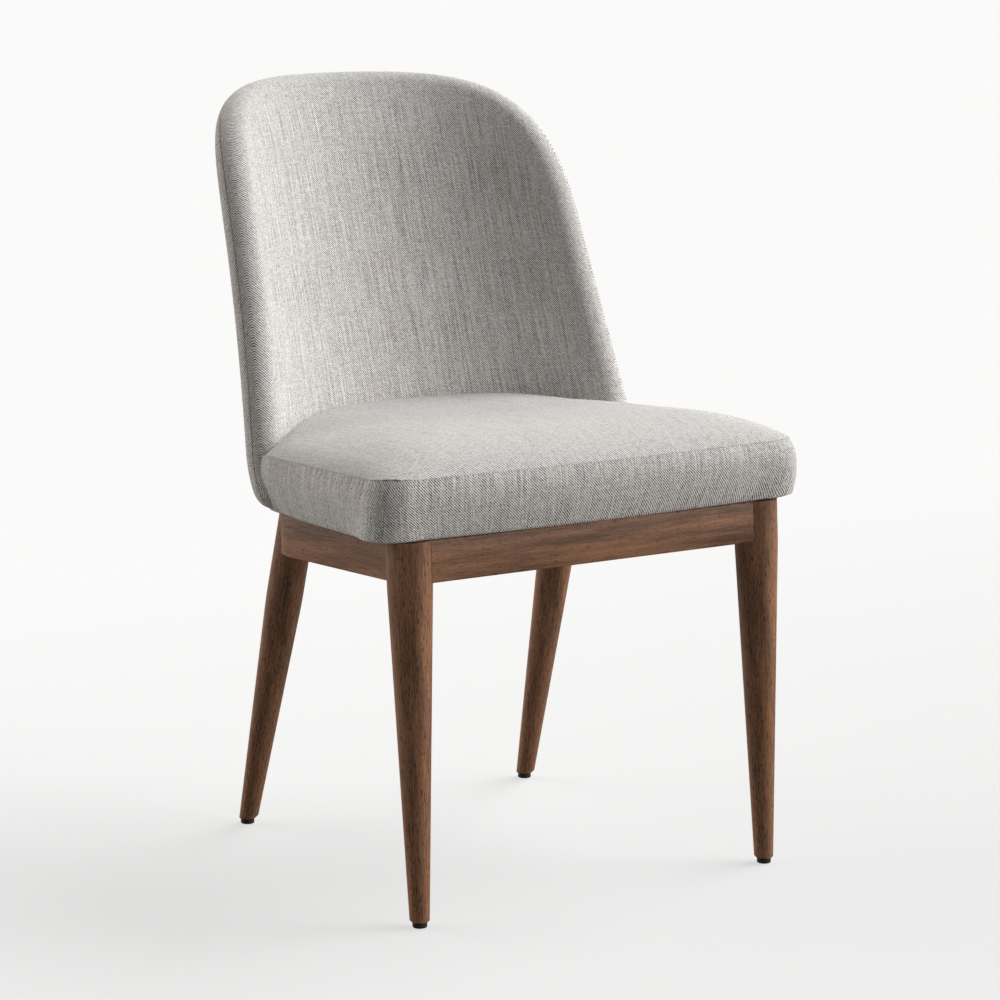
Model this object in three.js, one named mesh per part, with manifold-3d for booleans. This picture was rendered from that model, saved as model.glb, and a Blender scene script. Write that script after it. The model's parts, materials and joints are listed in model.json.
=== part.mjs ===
// Upholstered dining chair. A curved, fully covered back wraps round a boxed, crowned seat.
// Both stand on a wooden rail frame with two upright front legs and two raked rear legs.
// Lengths are millimetres, +Z is up and the front faces -Y.
// The whole upper part is drawn square to the rail frame, which is pitched down to the rear:
// x runs across, s runs back from the front rail's face and h rises from the rails' lower edge.

import * as THREE from 'three';
import { mergeVertices } from 'three/addons/utils/BufferGeometryUtils.js';
import Module from 'manifold-3d';

const wasm = await Module();
wasm.setup();

// Rail frame
const seat_pitch_deg = 3.2;
const floor_to_rail = 355;
const frame_half_width = 226;
const frame_depth = 316;
const frame_corner_radius = 65;
const rail_height = 44;
const rail_thickness = 22;
const rail_arris = 1.5;
const rear_rail_margin = 33;
const tenon_thickness = 8;
const tenon_height = 30;
const rear_tenon_length = 20;
const fit_gap = 0.3;
const overrun = 20;

// Legs
const front_leg_radius = 23.3;
const front_leg_setback = 17.7;
const front_leg_splay_deg = 0.3;
const front_leg_shoulder = 2;
const front_tenon_stop = 12;
const rear_leg_radius = 20;
const rear_leg_inset = 51.6;
const rear_leg_rake_deg = 19;
const rear_leg_splay_deg = 1.84;
const rear_leg_shoulder = 68;
const foot_radius = 10.1;
const foot_chamfer = 1.6;

// Glides
const glide_radius = 7.6;
const glide_height = 5.4;
const glide_edge = 1.2;
const nail_head_radius = 3.6;
const nail_head_thickness = 1;
const nail_radius = 1.2;
const nail_length = 18;
const nail_point = 3;
const glide_floor = 1.6;

// Corner blocks and frame fixings
const block_height = 32;
const front_block_leg = 72;
const front_block_tip = 12;
const rear_block_run = 24;
const rear_block_tip = 9;
const leg_bolt_radius = 4;
const leg_bolt_length = 82;
const leg_bolt_depth = 17;
const washer_radius = 10;
const washer_thickness = 1.6;
const nut_radius = 7.4;
const nut_thickness = 6.5;
const rear_bolt_radius = 3;
const rear_bolt_reach = 13;
const rear_bolt_head_radius = 5.5;
const rear_bolt_head_thickness = 3;
const rear_bolt_spacing = 18;
const insert_radius = 5;
const insert_length = 12;
const screw_radius = 2.2;
const screw_head_radius = 4.6;
const screw_head_thickness = 2.4;
const screw_head_edge = 0.8;
const screw_bite = 9;

// Seat
const deck_thickness = 12;
const cover_thickness = 1.5;
const boxing_height = 66.3;
const boxing_bulge = 7;
const boxing_fold = 25;
const boxing_side_overhang = 24;
const boxing_side_lean = 8;
const boxing_front_overhang = 10.3;
const boxing_front_lean = 17.9;
const seat_bow = 16;
const seat_corner_radius = 33;
const seat_side_bow = 3.5;
const seat_rear_inset = 5;
const seat_rear_lean = 16;
const seat_side_stop = 19;
const seat_crown = 31.4;
const seat_crown_reach_front = 160;
const seat_crown_reach_rear = 250;
const seat_crown_power = 4;
const seat_heart_share = 0.6;
const dust_cloth_thickness = 1;
const dust_cloth_margin = 1;

// Back
const back_rise = 460;
const back_overhang = 72.8;
const back_recline_deg = 16.6;
const back_radius_base_share = 1.3717;
const back_radius_middle_share = 1.1283;
const back_radius_top_share = 1.0973;
const back_girth_share = 1.2372;
const back_arch_girth_share = 1.1504;
const back_arch_rise = 293;
const back_arch_side_pull = 154;
const back_arch_top_pull = 167;
const back_lower_corner = 25;
const back_half_thickness = 19;
const back_tuck = 14.3;
const back_tuck_height = 66;
const back_lift = 6;
const back_crown = 5;
const back_seam_deg = -28;
const back_seam_gap = 0.5;
const shell_thickness = 11;
const shell_front = 1;
const shell_inset = 6;
const surface_probe = 0.5;

// Cleat that ties the back's shell to the seat deck
const cleat_height = 38;
const cleat_depth = 26;
const cleat_half_girth = 150;
const cleat_bolt_radius = 3;
const cleat_bolt_head_radius = 6;
const cleat_bolt_head_thickness = 2.5;
const cleat_bolt_bite = 7;
const cleat_bolt_girths_share = [-0.75, -0.27, 0.27, 0.75];
const cleat_screw_girths_share = [-0.6, 0, 0.6];

// Counts
const round_sides = 28;
const small_sides = 10;
const back_bottom_steps = 4;
const back_corner_steps = 3;
const back_side_steps = 3;
const back_arch_steps = 10;
const seat_front_steps = 4;
const seat_corner_steps = 4;
const seat_side_steps = 5;
const seat_rear_steps = 6;
const cleat_steps = 8;
const back_ring_shares = [0.16, 0.4, 0.7];
const boxing_row_shares = [0, 0.25, 0.5, 0.75, 1];
const seat_ring_shares = [0.04, 0.11, 0.24, 0.42, 0.68];

// Values that follow from the sizes above
const toRad = THREE.MathUtils.degToRad;
const front_leg_x = frame_half_width - rail_thickness / 2;
const rear_leg_x = frame_half_width - rear_leg_inset;
const rear_rail_half_length = frame_half_width - frame_corner_radius - rear_rail_margin;
const seat_rear_half_width = frame_half_width - seat_rear_inset;
const seat_side_depth = frame_depth - seat_side_stop;
const back_setback = frame_depth + back_overhang;
const back_radius_base = frame_half_width * back_radius_base_share;
const back_radius_middle = frame_half_width * back_radius_middle_share;
const back_radius_top = frame_half_width * back_radius_top_share;
const back_half_girth = frame_half_width * back_girth_share;
const back_arch_half_girth = frame_half_width * back_arch_girth_share;
const rear_leg_s = frame_depth + rear_leg_radius / Math.cos(toRad(rear_leg_rake_deg));
const skin_inset = cover_thickness + fit_gap;
const deck_bottom = rail_height + fit_gap + skin_inset;
const deck_top = deck_bottom + deck_thickness;
const seam_level = rail_height + boxing_height;
const back_base = rail_height + back_lift;
const back_top = rail_height + back_rise;

// Colours and finishes
const walnut = { color: 0x5f4434, roughness: 0.5, metalness: 0 };
const beech = { color: 0xc9a677, roughness: 0.7, metalness: 0 };
const steel = { color: 0x9a9da0, roughness: 0.4, metalness: 0.9 };
const brass = { color: 0xb08d4a, roughness: 0.4, metalness: 0.9 };
const black_plastic = { color: 0x18181a, roughness: 0.5, metalness: 0 };
const linen = { color: 0xb9b6ae, roughness: 0.95, metalness: 0 };
const foam = { color: 0xe8ddb5, roughness: 0.95, metalness: 0 };
const dust_cloth = { color: 0x1c1c1d, roughness: 1, metalness: 0 };

// Meshes and solids

// Merges shared vertices, drops empty triangles and turns the faces outward.
function closed(source) {
  const bare = source.clone();
  bare.deleteAttribute('normal');
  bare.deleteAttribute('uv');
  const merged = mergeVertices(bare);
  const corners = merged.index.array;
  const kept = [];
  for (let i = 0; i < corners.length; i += 3) {
    const [a, b, c] = [corners[i], corners[i + 1], corners[i + 2]];
    if (a !== b && b !== c && c !== a) kept.push(a, b, c);
  }
  const points = merged.attributes.position;
  const [p, q, r] = [new THREE.Vector3(), new THREE.Vector3(), new THREE.Vector3()];
  let volume = 0;
  for (let i = 0; i < kept.length; i += 3) {
    p.fromBufferAttribute(points, kept[i]);
    q.fromBufferAttribute(points, kept[i + 1]);
    r.fromBufferAttribute(points, kept[i + 2]);
    volume += p.dot(q.cross(r));
  }
  if (volume < 0) kept.reverse();
  merged.setIndex(kept);
  return merged;
}

function toSolid(geometry) {
  const shape = closed(geometry);
  const vertProperties = new Float32Array(shape.attributes.position.array);
  const triVerts = new Uint32Array(shape.index.array);
  return new wasm.Manifold(new wasm.Mesh({ numProp: 3, vertProperties, triVerts }));
}

function toGeometry(solid) {
  const { vertProperties, triVerts } = solid.getMesh();
  const geometry = new THREE.BufferGeometry();
  geometry.setAttribute('position', new THREE.BufferAttribute(new Float32Array(vertProperties), 3));
  geometry.setIndex(new THREE.BufferAttribute(new Uint32Array(triVerts), 1));
  geometry.computeVertexNormals();
  return geometry;
}

function cutAway(solid, ...cutters) {
  return cutters.reduce((left, cutter) => left.subtract(cutter), solid);
}

// The largest body that a cut leaves, without any sliver beyond it.
function mainBody(solid) {
  return solid.decompose().reduce((a, b) => (b.volume() > a.volume() ? b : a));
}

function ringLength(ring) {
  return ring.reduce((sum, point, i) => sum + point.distanceTo(ring[(i + 1) % ring.length]), 0);
}

// The four-sided faces between two rings, all split the same way, mirror-wise about x = 0.
function bandFaces(rings, near, far) {
  const count = rings[0].length;
  const outward = ringLength(rings[near]) < ringLength(rings[far]);
  const faces = [];
  for (let i = 0; i < count; i += 1) {
    const next = (i + 1) % count;
    const [a, b] = [near * count + i, near * count + next];
    const [c, d] = [far * count + next, far * count + i];
    const fromFar = outward === (i < count / 2);
    if (fromFar) faces.push(a, b, d, b, c, d);
    else faces.push(a, b, c, a, c, d);
  }
  return faces;
}

// Closes a run of equal rings of points into one body, with a fan at each end.
function skinned(rings) {
  const count = rings[0].length;
  const middle = (ring) => ring
    .reduce((sum, point) => sum.add(point), new THREE.Vector3())
    .divideScalar(count);
  const points = [...rings.flat(), middle(rings[0]), middle(rings[rings.length - 1])];
  const first = points.length - 2;
  const last = points.length - 1;
  const faces = rings.slice(1).flatMap((ring, i) => bandFaces(rings, i, i + 1));
  const end = (rings.length - 1) * count;
  for (let i = 0; i < count; i += 1) {
    const next = (i + 1) % count;
    faces.push(next, i, first, end + i, end + next, last);
  }
  const geometry = new THREE.BufferGeometry().setFromPoints(points);
  geometry.setIndex(faces);
  return geometry;
}

// Joins a run of equal rings into a closed hoop, the last ring meeting the first.
function hooped(rings) {
  const faces = rings.flatMap((ring, i) => bandFaces(rings, i, (i + 1) % rings.length));
  const geometry = new THREE.BufferGeometry().setFromPoints(rings.flat());
  geometry.setIndex(faces);
  return geometry;
}

function box(x0, x1, s0, s1, h0, h1) {
  const shape = new THREE.BoxGeometry(x1 - x0, s1 - s0, h1 - h0);
  return shape.translate((x0 + x1) / 2, (s0 + s1) / 2, (h0 + h1) / 2);
}

// A turned body about +Z from [radius, height] pairs that start and end on the axis.
function turned(profile, sides) {
  const points = profile.map(([radius, height]) => new THREE.Vector2(radius, height));
  return new THREE.LatheGeometry(points, sides).rotateX(Math.PI / 2);
}

function rod(radius, from, to, sides = small_sides) {
  return turned([[0, from], [radius, from], [radius, to], [0, to]], sides);
}

// Points a body's +Z along a direction and moves its origin to a place.
function aimed(geometry, place, direction) {
  const turn = new THREE.Quaternion();
  turn.setFromUnitVectors(new THREE.Vector3(0, 0, 1), direction.clone().normalize());
  return geometry.clone().applyQuaternion(turn).translate(place.x, place.y, place.z);
}

// An upright body from a plan drawn in x and s, with eased edges where an arris is given.
function upright(shape, low, high, arris = 0, arcSteps = 8) {
  const depth = high - low - 2 * arris;
  const eased = arris > 0;
  const settings = { depth, bevelEnabled: eased, curveSegments: arcSteps };
  Object.assign(settings, { bevelSize: arris, bevelThickness: arris });
  Object.assign(settings, { bevelOffset: -arris, bevelSegments: 2 });
  return new THREE.ExtrudeGeometry(shape, settings).translate(0, 0, low + arris);
}

function planShape(points) {
  return new THREE.Shape(points.map(([x, s]) => new THREE.Vector2(x, s)));
}

function mirrored(geometry, side) {
  return geometry.clone().scale(side, 1, 1);
}

// The chair's groups: the pitched frame holds everything but the glides and their nails
const chair = new THREE.Group();
const frame = new THREE.Group();
frame.position.set(0, 0, floor_to_rail);
frame.rotation.x = -toRad(seat_pitch_deg);
frame.updateMatrix();
const toWorld = frame.matrix;
const toFrame = toWorld.clone().invert();
chair.add(frame);

function addMesh(group, name, shape, finish) {
  const geometry = shape instanceof THREE.BufferGeometry ? closed(shape) : toGeometry(shape);
  geometry.computeVertexNormals();
  const mesh = new THREE.Mesh(geometry, new THREE.MeshStandardMaterial(finish));
  mesh.name = name;
  group.add(mesh);
  return mesh;
}

const sides = [{ side: -1, label: 'left' }, { side: 1, label: 'right' }];

// Legs: axis, raw turned shape and foot

function legAxis(isFront, side) {
  const splay = toRad(isFront ? front_leg_splay_deg : rear_leg_splay_deg);
  const rake = toRad(isFront ? 0 : rear_leg_rake_deg);
  const x = side * (isFront ? front_leg_x : rear_leg_x);
  const s = isFront ? front_leg_setback : rear_leg_s;
  const down = new THREE.Vector3(side * Math.tan(splay), Math.tan(rake), -1).normalize();
  return { start: new THREE.Vector3(x, s, 0), down };
}

// The place on the floor where the leg's axis lands, in the frame's own axes.
function footPoint({ start, down }) {
  const top = start.clone().applyMatrix4(toWorld);
  const run = down.clone().transformDirection(toWorld);
  const travel = -top.z / run.z;
  return start.clone().addScaledVector(down, travel);
}

function legTurning(isFront, axis, growth = 0) {
  const radius = (isFront ? front_leg_radius : rear_leg_radius) + growth;
  const shoulder = isFront ? front_leg_shoulder : rear_leg_shoulder;
  const length = footPoint(axis).distanceTo(axis.start);
  const slope = (radius - foot_radius - growth) / (length - shoulder);
  const tip = length + overrun;
  const tipRadius = radius - slope * (tip - shoulder);
  const head = rail_height + overrun;
  const profile = [[0, -head], [radius, -head], [radius, shoulder], [tipRadius, tip], [0, tip]];
  return aimed(turned(profile, round_sides), axis.start, axis.down);
}

// Everything that a foot may fill: flat at the glide's top, chamfered, and open above.
function footForm(axis) {
  const foot = footPoint(axis).applyMatrix4(toWorld);
  const wide = frame_depth;
  const base = glide_height + fit_gap;
  const flatRadius = foot_radius - foot_chamfer;
  const flare = wide - flatRadius;
  const roof = floor_to_rail + back_top;
  const profile = [[0, base], [flatRadius, base], [wide, base + flare], [wide, roof], [0, roof]];
  const form = turned(profile, round_sides).translate(foot.x, foot.y, 0);
  return toSolid(form.applyMatrix4(toFrame));
}

const leg_ceiling = toSolid(box(
  -frame_half_width - overrun, frame_half_width + overrun,
  -frame_depth, 2 * frame_depth,
  rail_height - fit_gap, rail_height + 3 * overrun,
));

// Rails: a front rail between the front legs and a bent rail round the sides and the rear

function sideRailShape(side, growth = 0) {
  const outer = frame_half_width + growth;
  const rear = frame_depth + growth;
  const turn = frame_corner_radius + growth;
  const inner = frame_half_width - rail_thickness - growth;
  const innerTurn = frame_corner_radius - rail_thickness - growth;
  const centre_x = frame_half_width - frame_corner_radius;
  const centre_s = frame_depth - frame_corner_radius;
  const end = rear_rail_half_length;
  const shape = new THREE.Shape();
  shape.moveTo(outer, front_leg_setback);
  shape.lineTo(outer, centre_s);
  shape.absarc(centre_x, centre_s, turn, 0, Math.PI / 2, false);
  shape.lineTo(end, rear);
  shape.lineTo(end, rear - rail_thickness - 2 * growth);
  shape.absarc(centre_x, centre_s, innerTurn, Math.PI / 2, 0, true);
  shape.lineTo(inner, front_leg_setback);
  const arris = growth > 0 ? 0 : rail_arris;
  return mirrored(upright(shape, -growth, rail_height + growth, arris), side);
}

const tenon_low = (rail_height - tenon_height) / 2;
const tenon_high = (rail_height + tenon_height) / 2;

function frontRailTenon(side, growth = 0) {
  const middle = rail_thickness / 2;
  const half = tenon_thickness / 2 + growth;
  const end = front_leg_x - front_tenon_stop + growth;
  const root = front_leg_x - front_leg_radius - overrun;
  const tenon = box(root, end, middle - half, middle + half, tenon_low - growth, tenon_high + growth);
  return toSolid(mirrored(tenon, side));
}

function sideRailTenon(side, growth = 0) {
  const half = tenon_thickness / 2 + growth;
  const start = front_leg_setback + front_tenon_stop - growth;
  const root = front_leg_setback + front_leg_radius + overrun;
  const [low, high] = [tenon_low - growth, tenon_high + growth];
  return toSolid(mirrored(box(front_leg_x - half, front_leg_x + half, start, root, low, high), side));
}

function rearRailTenon(side, growth = 0) {
  const middle = frame_depth - rail_thickness / 2;
  const half = tenon_thickness / 2 + growth;
  const root = rear_rail_half_length - overrun;
  const end = rear_rail_half_length + rear_tenon_length + growth;
  const tenon = box(root, end, middle - half, middle + half, tenon_low - growth, tenon_high + growth);
  return toSolid(mirrored(tenon, side));
}

// Fixings: axes first, so that every hole and every piece in it share them

function frontBoltAxis(side) {
  const centre = new THREE.Vector3(side * front_leg_x, front_leg_setback, rail_height / 2);
  return { centre, inward: new THREE.Vector3(-side, 1, 0).normalize() };
}

const front_block_x = frame_half_width - rail_thickness - fit_gap;
const front_block_s = rail_thickness + fit_gap;
const front_block_run = front_block_s + front_block_leg - (front_block_x - front_block_tip);
const front_block_face = (front_block_run + front_leg_x - front_leg_setback) / Math.SQRT2;

function frontBoltRod(side, radius, from, to) {
  const { centre, inward } = frontBoltAxis(side);
  return aimed(rod(radius, from, to), centre, inward);
}

const rear_bolt_heights = [
  (rail_height - rear_bolt_spacing) / 2,
  (rail_height + rear_bolt_spacing) / 2,
];
const backwards = new THREE.Vector3(0, 1, 0);

// The curved frame corner's outer face behind a given place across.
function rearFaceAt(x) {
  const across = Math.max(0, Math.abs(x) - (frame_half_width - frame_corner_radius));
  const rise = Math.sqrt(frame_corner_radius ** 2 - across ** 2);
  return frame_depth - frame_corner_radius + rise;
}

// Bolt heads sit in counterbores, a head's radius behind the block's sloping face.
const frame_corner_x = frame_half_width - frame_corner_radius;
const frame_corner_s = frame_depth - frame_corner_radius;
const rear_block_radius = frame_corner_radius - rail_thickness - fit_gap;
const rear_block_sum = frame_corner_x + frame_corner_s + rear_block_radius
  - rear_block_tip - rear_block_run;
const rear_bolt_seat = rear_block_sum - rear_leg_x + rear_bolt_head_radius + fit_gap;

function rearBoltRod(side, height, radius, from, to) {
  const start = new THREE.Vector3(side * rear_leg_x, 0, height);
  return aimed(rod(radius, from, to), start, backwards);
}

const block_low = (rail_height - block_height) / 2;
const block_high = (rail_height + block_height) / 2;
const upwards = new THREE.Vector3(0, 0, 1);

// Deck screws rise through the corner blocks, clear of the leg bolts.
const front_screw_x = frame_half_width - rail_thickness - front_block_leg + 2 * front_block_tip;
const front_screw_s = rail_thickness + front_block_tip;
const rear_screw_x = frame_half_width - rail_thickness - front_block_tip;
const rear_screw_s = frame_depth - frame_corner_radius;

function deckScrewPlace(isFront, side) {
  const x = isFront ? front_screw_x : rear_screw_x;
  const s = isFront ? front_screw_s : rear_screw_s;
  return new THREE.Vector3(side * x, s, 0);
}

function screw(low, high) {
  const head = low + screw_head_thickness;
  const tip = high - screw_radius;
  return turned([
    [0, low], [screw_head_radius, low], [screw_head_radius, low + screw_head_edge],
    [screw_radius, head], [screw_radius, tip], [0, high],
  ], small_sides);
}

function screwHole(low, high) {
  const head = low + screw_head_thickness + fit_gap;
  const wide = screw_head_radius + fit_gap;
  const narrow = screw_radius + fit_gap;
  const floor = low - overrun;
  return turned([
    [0, floor], [wide, floor], [wide, low + screw_head_edge + fit_gap],
    [narrow, head], [narrow, high + fit_gap], [0, high + fit_gap],
  ], small_sides);
}

const deck_screw_low = block_low;
const deck_screw_high = deck_bottom + screw_bite;

// Seat plan: half outline from the front's middle round to the rear's middle

function frontLine(x, halfWidth, front) {
  return front + seat_bow * (x / halfWidth) ** 2;
}

// Sizes of the seat's plan at a level, where 0 is the boxing's lower edge and 1 its seam.
function seatLevel(level) {
  const bulge = boxing_bulge * 4 * level * (1 - level);
  return {
    halfWidth: frame_half_width + boxing_side_overhang + boxing_side_lean * level + bulge,
    rearHalfWidth: seat_rear_half_width + seat_rear_lean * level + bulge,
    front: -boxing_front_overhang - boxing_front_lean * level - bulge,
  };
}

function sideLine(s, size, start) {
  const share = THREE.MathUtils.clamp((s - start) / (seat_side_depth - start), 0, 1);
  const straight = size.halfWidth + (size.rearHalfWidth - size.halfWidth) * share;
  return straight + 4 * seat_side_bow * share * (1 - share);
}

function cornerStart(size) {
  return frontLine(size.halfWidth, size.halfWidth, size.front) + seat_corner_radius;
}

// The open half run from the front's middle to the end of the side.
function seatHalfRun(level, inset = 0) {
  const size = seatLevel(level);
  const corner_x = size.halfWidth - seat_corner_radius;
  const corner_s = cornerStart(size);
  const radius = seat_corner_radius - inset;
  const points = [];
  for (let i = 0; i < seat_front_steps; i += 1) {
    const x = corner_x * i / seat_front_steps;
    points.push([x, frontLine(x, size.halfWidth, size.front) + inset]);
  }
  const entry = Math.atan2(corner_s - frontLine(corner_x, size.halfWidth, size.front), 0) - Math.PI / 2;
  for (let i = 0; i <= seat_corner_steps; i += 1) {
    const turn = -Math.PI / 2 + entry + (Math.PI / 2 - entry) * i / seat_corner_steps;
    points.push([corner_x + radius * Math.cos(turn), corner_s + radius * Math.sin(turn)]);
  }
  for (let i = 1; i <= seat_side_steps; i += 1) {
    const s = corner_s + (seat_side_depth - corner_s) * i / seat_side_steps;
    points.push([sideLine(s, size, corner_s) - inset, s]);
  }
  return points;
}

// The back's middle surface, where girth is measured round the bend and rise from its base

function backRadius(h) {
  const t = (h - rail_height) / back_rise;
  return back_radius_base * (1 - t) * (1 - 2 * t)
    + back_radius_middle * 4 * t * (1 - t)
    + back_radius_top * t * (2 * t - 1);
}

function backTuck(h) {
  const low = Math.max(0, 1 - (h - rail_height) / back_tuck_height);
  return back_tuck * low ** 2;
}

function backMiddle(girth, h) {
  const radius = backRadius(h);
  const angle = girth / radius;
  const spine = back_setback + (h - rail_height) * Math.tan(toRad(back_recline_deg));
  const drawn = radius - backTuck(h);
  const centre = spine - radius;
  return new THREE.Vector3(drawn * Math.sin(angle), centre + drawn * Math.cos(angle), h);
}

// A point at an offset from the middle surface, positive towards the sitter.
function backPoint(girth, h, offset) {
  const across = backMiddle(girth + surface_probe, h).sub(backMiddle(girth - surface_probe, h));
  const rising = backMiddle(girth, h + surface_probe).sub(backMiddle(girth, h - surface_probe));
  const normal = across.cross(rising).normalize();
  return backMiddle(girth, h).addScaledVector(normal, offset);
}

// Edge of the back in girth and rise: flat base, tight lower corner, tapering side, round arch.
function backHalfEdge() {
  const points = [];
  const base = back_base;
  const corner = back_lower_corner;
  const side = back_half_girth;
  for (let i = 0; i <= back_bottom_steps; i += 1) {
    points.push([(side - corner) * i / back_bottom_steps, base]);
  }
  for (let i = 1; i <= back_corner_steps; i += 1) {
    const turn = -Math.PI / 2 + (Math.PI / 2) * i / back_corner_steps;
    points.push([side - corner + corner * Math.cos(turn), base + corner + corner * Math.sin(turn)]);
  }
  const arch_start = rail_height + back_arch_rise;
  const side_rise = arch_start - base - corner;
  const taper = (side - back_arch_half_girth) / side_rise;
  for (let i = 1; i <= back_side_steps; i += 1) {
    const climb = side_rise * i / back_side_steps;
    points.push([side - taper * climb, base + corner + climb]);
  }
  const arch = new THREE.CubicBezierCurve(
    new THREE.Vector2(back_arch_half_girth, arch_start),
    new THREE.Vector2(back_arch_half_girth - taper * back_arch_side_pull, arch_start + back_arch_side_pull),
    new THREE.Vector2(back_arch_top_pull, back_top),
    new THREE.Vector2(0, back_top),
  );
  const arched = arch.getSpacedPoints(back_arch_steps).slice(1);
  arched.forEach((point) => points.push([point.x, point.y]));
  return points;
}

function closedLoop(half) {
  const other = half.slice(1, -1).reverse().map(([a, b]) => [-a, b]);
  return [...half, ...other];
}

const back_edge = closedLoop(backHalfEdge());
const back_heart = [0, (back_base + back_top) / 2];

// The unit direction inward from the edge at each of its points.
const back_edge_inward = back_edge.map((point, i) => {
  const before = back_edge[(i + back_edge.length - 1) % back_edge.length];
  const after = back_edge[(i + 1) % back_edge.length];
  const run = [after[0] - before[0], after[1] - before[1]];
  const length = Math.hypot(run[0], run[1]);
  return [-run[1] / length, run[0] / length];
});

function backEdgeRing(inset, offset) {
  return back_edge.map(([girth, h], i) => {
    const [across, rise] = back_edge_inward[i];
    return backPoint(girth + across * inset, h + rise * inset, offset);
  });
}

// A ring of the roll round the edge: 90 degrees faces the sitter, -90 degrees the rear.
function backRollRing(depth, degrees) {
  const radius = back_half_thickness - depth;
  const turn = toRad(degrees);
  return backEdgeRing(depth + radius * (1 - Math.cos(turn)), radius * Math.sin(turn));
}

// A ring inside the edge roll: share 0 lies at the roll's inner end and 1 at the heart.
function backFaceRing(share, offset) {
  return back_edge.map(([girth, h], i) => {
    const [across, rise] = back_edge_inward[i];
    const a = girth + across * back_half_thickness;
    const b = h + rise * back_half_thickness;
    const [to_a, to_b] = [back_heart[0] - a, back_heart[1] - b];
    return backPoint(a + to_a * share, b + to_b * share, offset);
  });
}

function crownAt(share) {
  return back_crown * share * (2 - share);
}

// Face rings from near the heart out to the first ring share, crowned on the sitter's side.
function frontFace(depth) {
  const offset = back_half_thickness - depth;
  return [...back_ring_shares].reverse().map((share) => backFaceRing(share, offset + crownAt(share)));
}

function rearFace(depth) {
  return back_ring_shares.map((share) => backFaceRing(share, depth - back_half_thickness));
}

function levelFace(offset) {
  return back_ring_shares.map((share) => backFaceRing(share, offset));
}

// The roll's stations: the inside cover wraps to the seam and the outside cover starts past it.
const inside_roll = [90, 60, 30, 0, back_seam_deg];
const outside_start = back_seam_deg - THREE.MathUtils.radToDeg(back_seam_gap / back_half_thickness);
const outside_roll = [outside_start, (outside_start * 2 - 90) / 3, (outside_start - 180) / 3, -90];

function backSlab(depth) {
  const roll = [...inside_roll, ...outside_roll].map((degrees) => backRollRing(depth, degrees));
  return skinned([...frontFace(depth), ...roll, ...rearFace(depth)]);
}

function insideCover() {
  const skin = (depth) => [
    ...frontFace(depth), ...inside_roll.map((degrees) => backRollRing(depth, degrees)),
  ];
  return skinned([...skin(0), ...skin(cover_thickness).reverse()]);
}

function outsideCover() {
  const skin = (depth) => [
    ...outside_roll.map((degrees) => backRollRing(depth, degrees)), ...rearFace(depth),
  ];
  return skinned([...skin(cover_thickness).reverse(), ...skin(0)]);
}

const shell_rear = shell_front - shell_thickness;

function backShell() {
  const front = levelFace(shell_front).reverse();
  const rear = levelFace(shell_rear);
  const edge = [
    backEdgeRing(back_half_thickness, shell_front), backEdgeRing(shell_inset, shell_front),
    backEdgeRing(shell_inset, shell_rear), backEdgeRing(back_half_thickness, shell_rear),
  ];
  return skinned([...front, ...edge, ...rear]);
}

// Front padding: fills the cover from the shell's face forward and wraps the shell's edge.
function backFoam() {
  const roll = inside_roll.map((degrees) => backRollRing(skin_inset, degrees));
  const wrapped = (back_half_thickness - skin_inset) * Math.sin(toRad(back_seam_deg));
  const face = shell_front + fit_gap;
  const edge = [
    backEdgeRing(shell_inset - fit_gap, wrapped), backEdgeRing(shell_inset - fit_gap, face),
    backEdgeRing(back_half_thickness, face),
  ];
  return skinned([...frontFace(skin_inset), ...roll, ...edge, ...levelFace(face)]);
}

// Rear wadding: a thin layer between the shell's rear face and the outside cover.
function backWadding() {
  const depth = skin_inset + fit_gap;
  const face = shell_rear - fit_gap;
  const start = -THREE.MathUtils.radToDeg(Math.asin(-face / (back_half_thickness - depth)));
  const roll = [start, (start - 90) / 2, -90].map((degrees) => backRollRing(depth, degrees));
  const inner = levelFace(face).reverse();
  return skinned([...inner, backEdgeRing(back_half_thickness, face), ...roll, ...rearFace(depth)]);
}

// A point level with the middle surface's own, set off towards the sitter.
function backLevelPoint(girth, h, offset) {
  const angle = girth / backRadius(h);
  const inward = new THREE.Vector3(-Math.sin(angle), -Math.cos(angle), 0);
  return backMiddle(girth, h).addScaledVector(inward, offset);
}

// Closed plan of the seat at a level: the rear lies inside the back's thickness.
function seatLoop(level, inset) {
  const half = seatHalfRun(level, inset);
  const h = rail_height + boxing_height * level;
  const [side_x] = half[half.length - 1];
  const start = Math.asin(Math.min(1, side_x / backRadius(h))) * backRadius(h) - back_half_thickness;
  for (let i = 0; i < seat_rear_steps; i += 1) {
    const point = backMiddle(start * (1 - i / (seat_rear_steps - 1)), h);
    half.push([Math.max(0, point.x), point.y]);
  }
  return closedLoop(half);
}

function seatTopHeight(x, s) {
  const size = seatLevel(1);
  const backness = THREE.MathUtils.clamp(s / seat_side_depth, 0, 1);
  const sideReach = THREE.MathUtils.lerp(seat_crown_reach_front, seat_crown_reach_rear, backness);
  const rise = (distance, reach) => {
    const share = THREE.MathUtils.clamp(distance / reach, 0, 1);
    return 1 - (1 - share) ** seat_crown_power;
  };
  const fromSide = sideLine(s, size, cornerStart(size)) - Math.abs(x);
  const fromFront = s - frontLine(x, size.halfWidth, size.front);
  const lift = rise(fromSide, sideReach) * rise(fromFront, seat_crown_reach_front);
  return seam_level + seat_crown * lift;
}

const seat_heart = [0, seat_side_depth * seat_heart_share];

function seatTopRing(share, inset, drop) {
  return seatLoop(1, inset).map(([x, s]) => {
    const to_x = x + (seat_heart[0] - x) * share;
    const to_s = s + (seat_heart[1] - s) * share;
    return new THREE.Vector3(to_x, to_s, seatTopHeight(to_x, to_s) - drop);
  });
}

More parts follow.
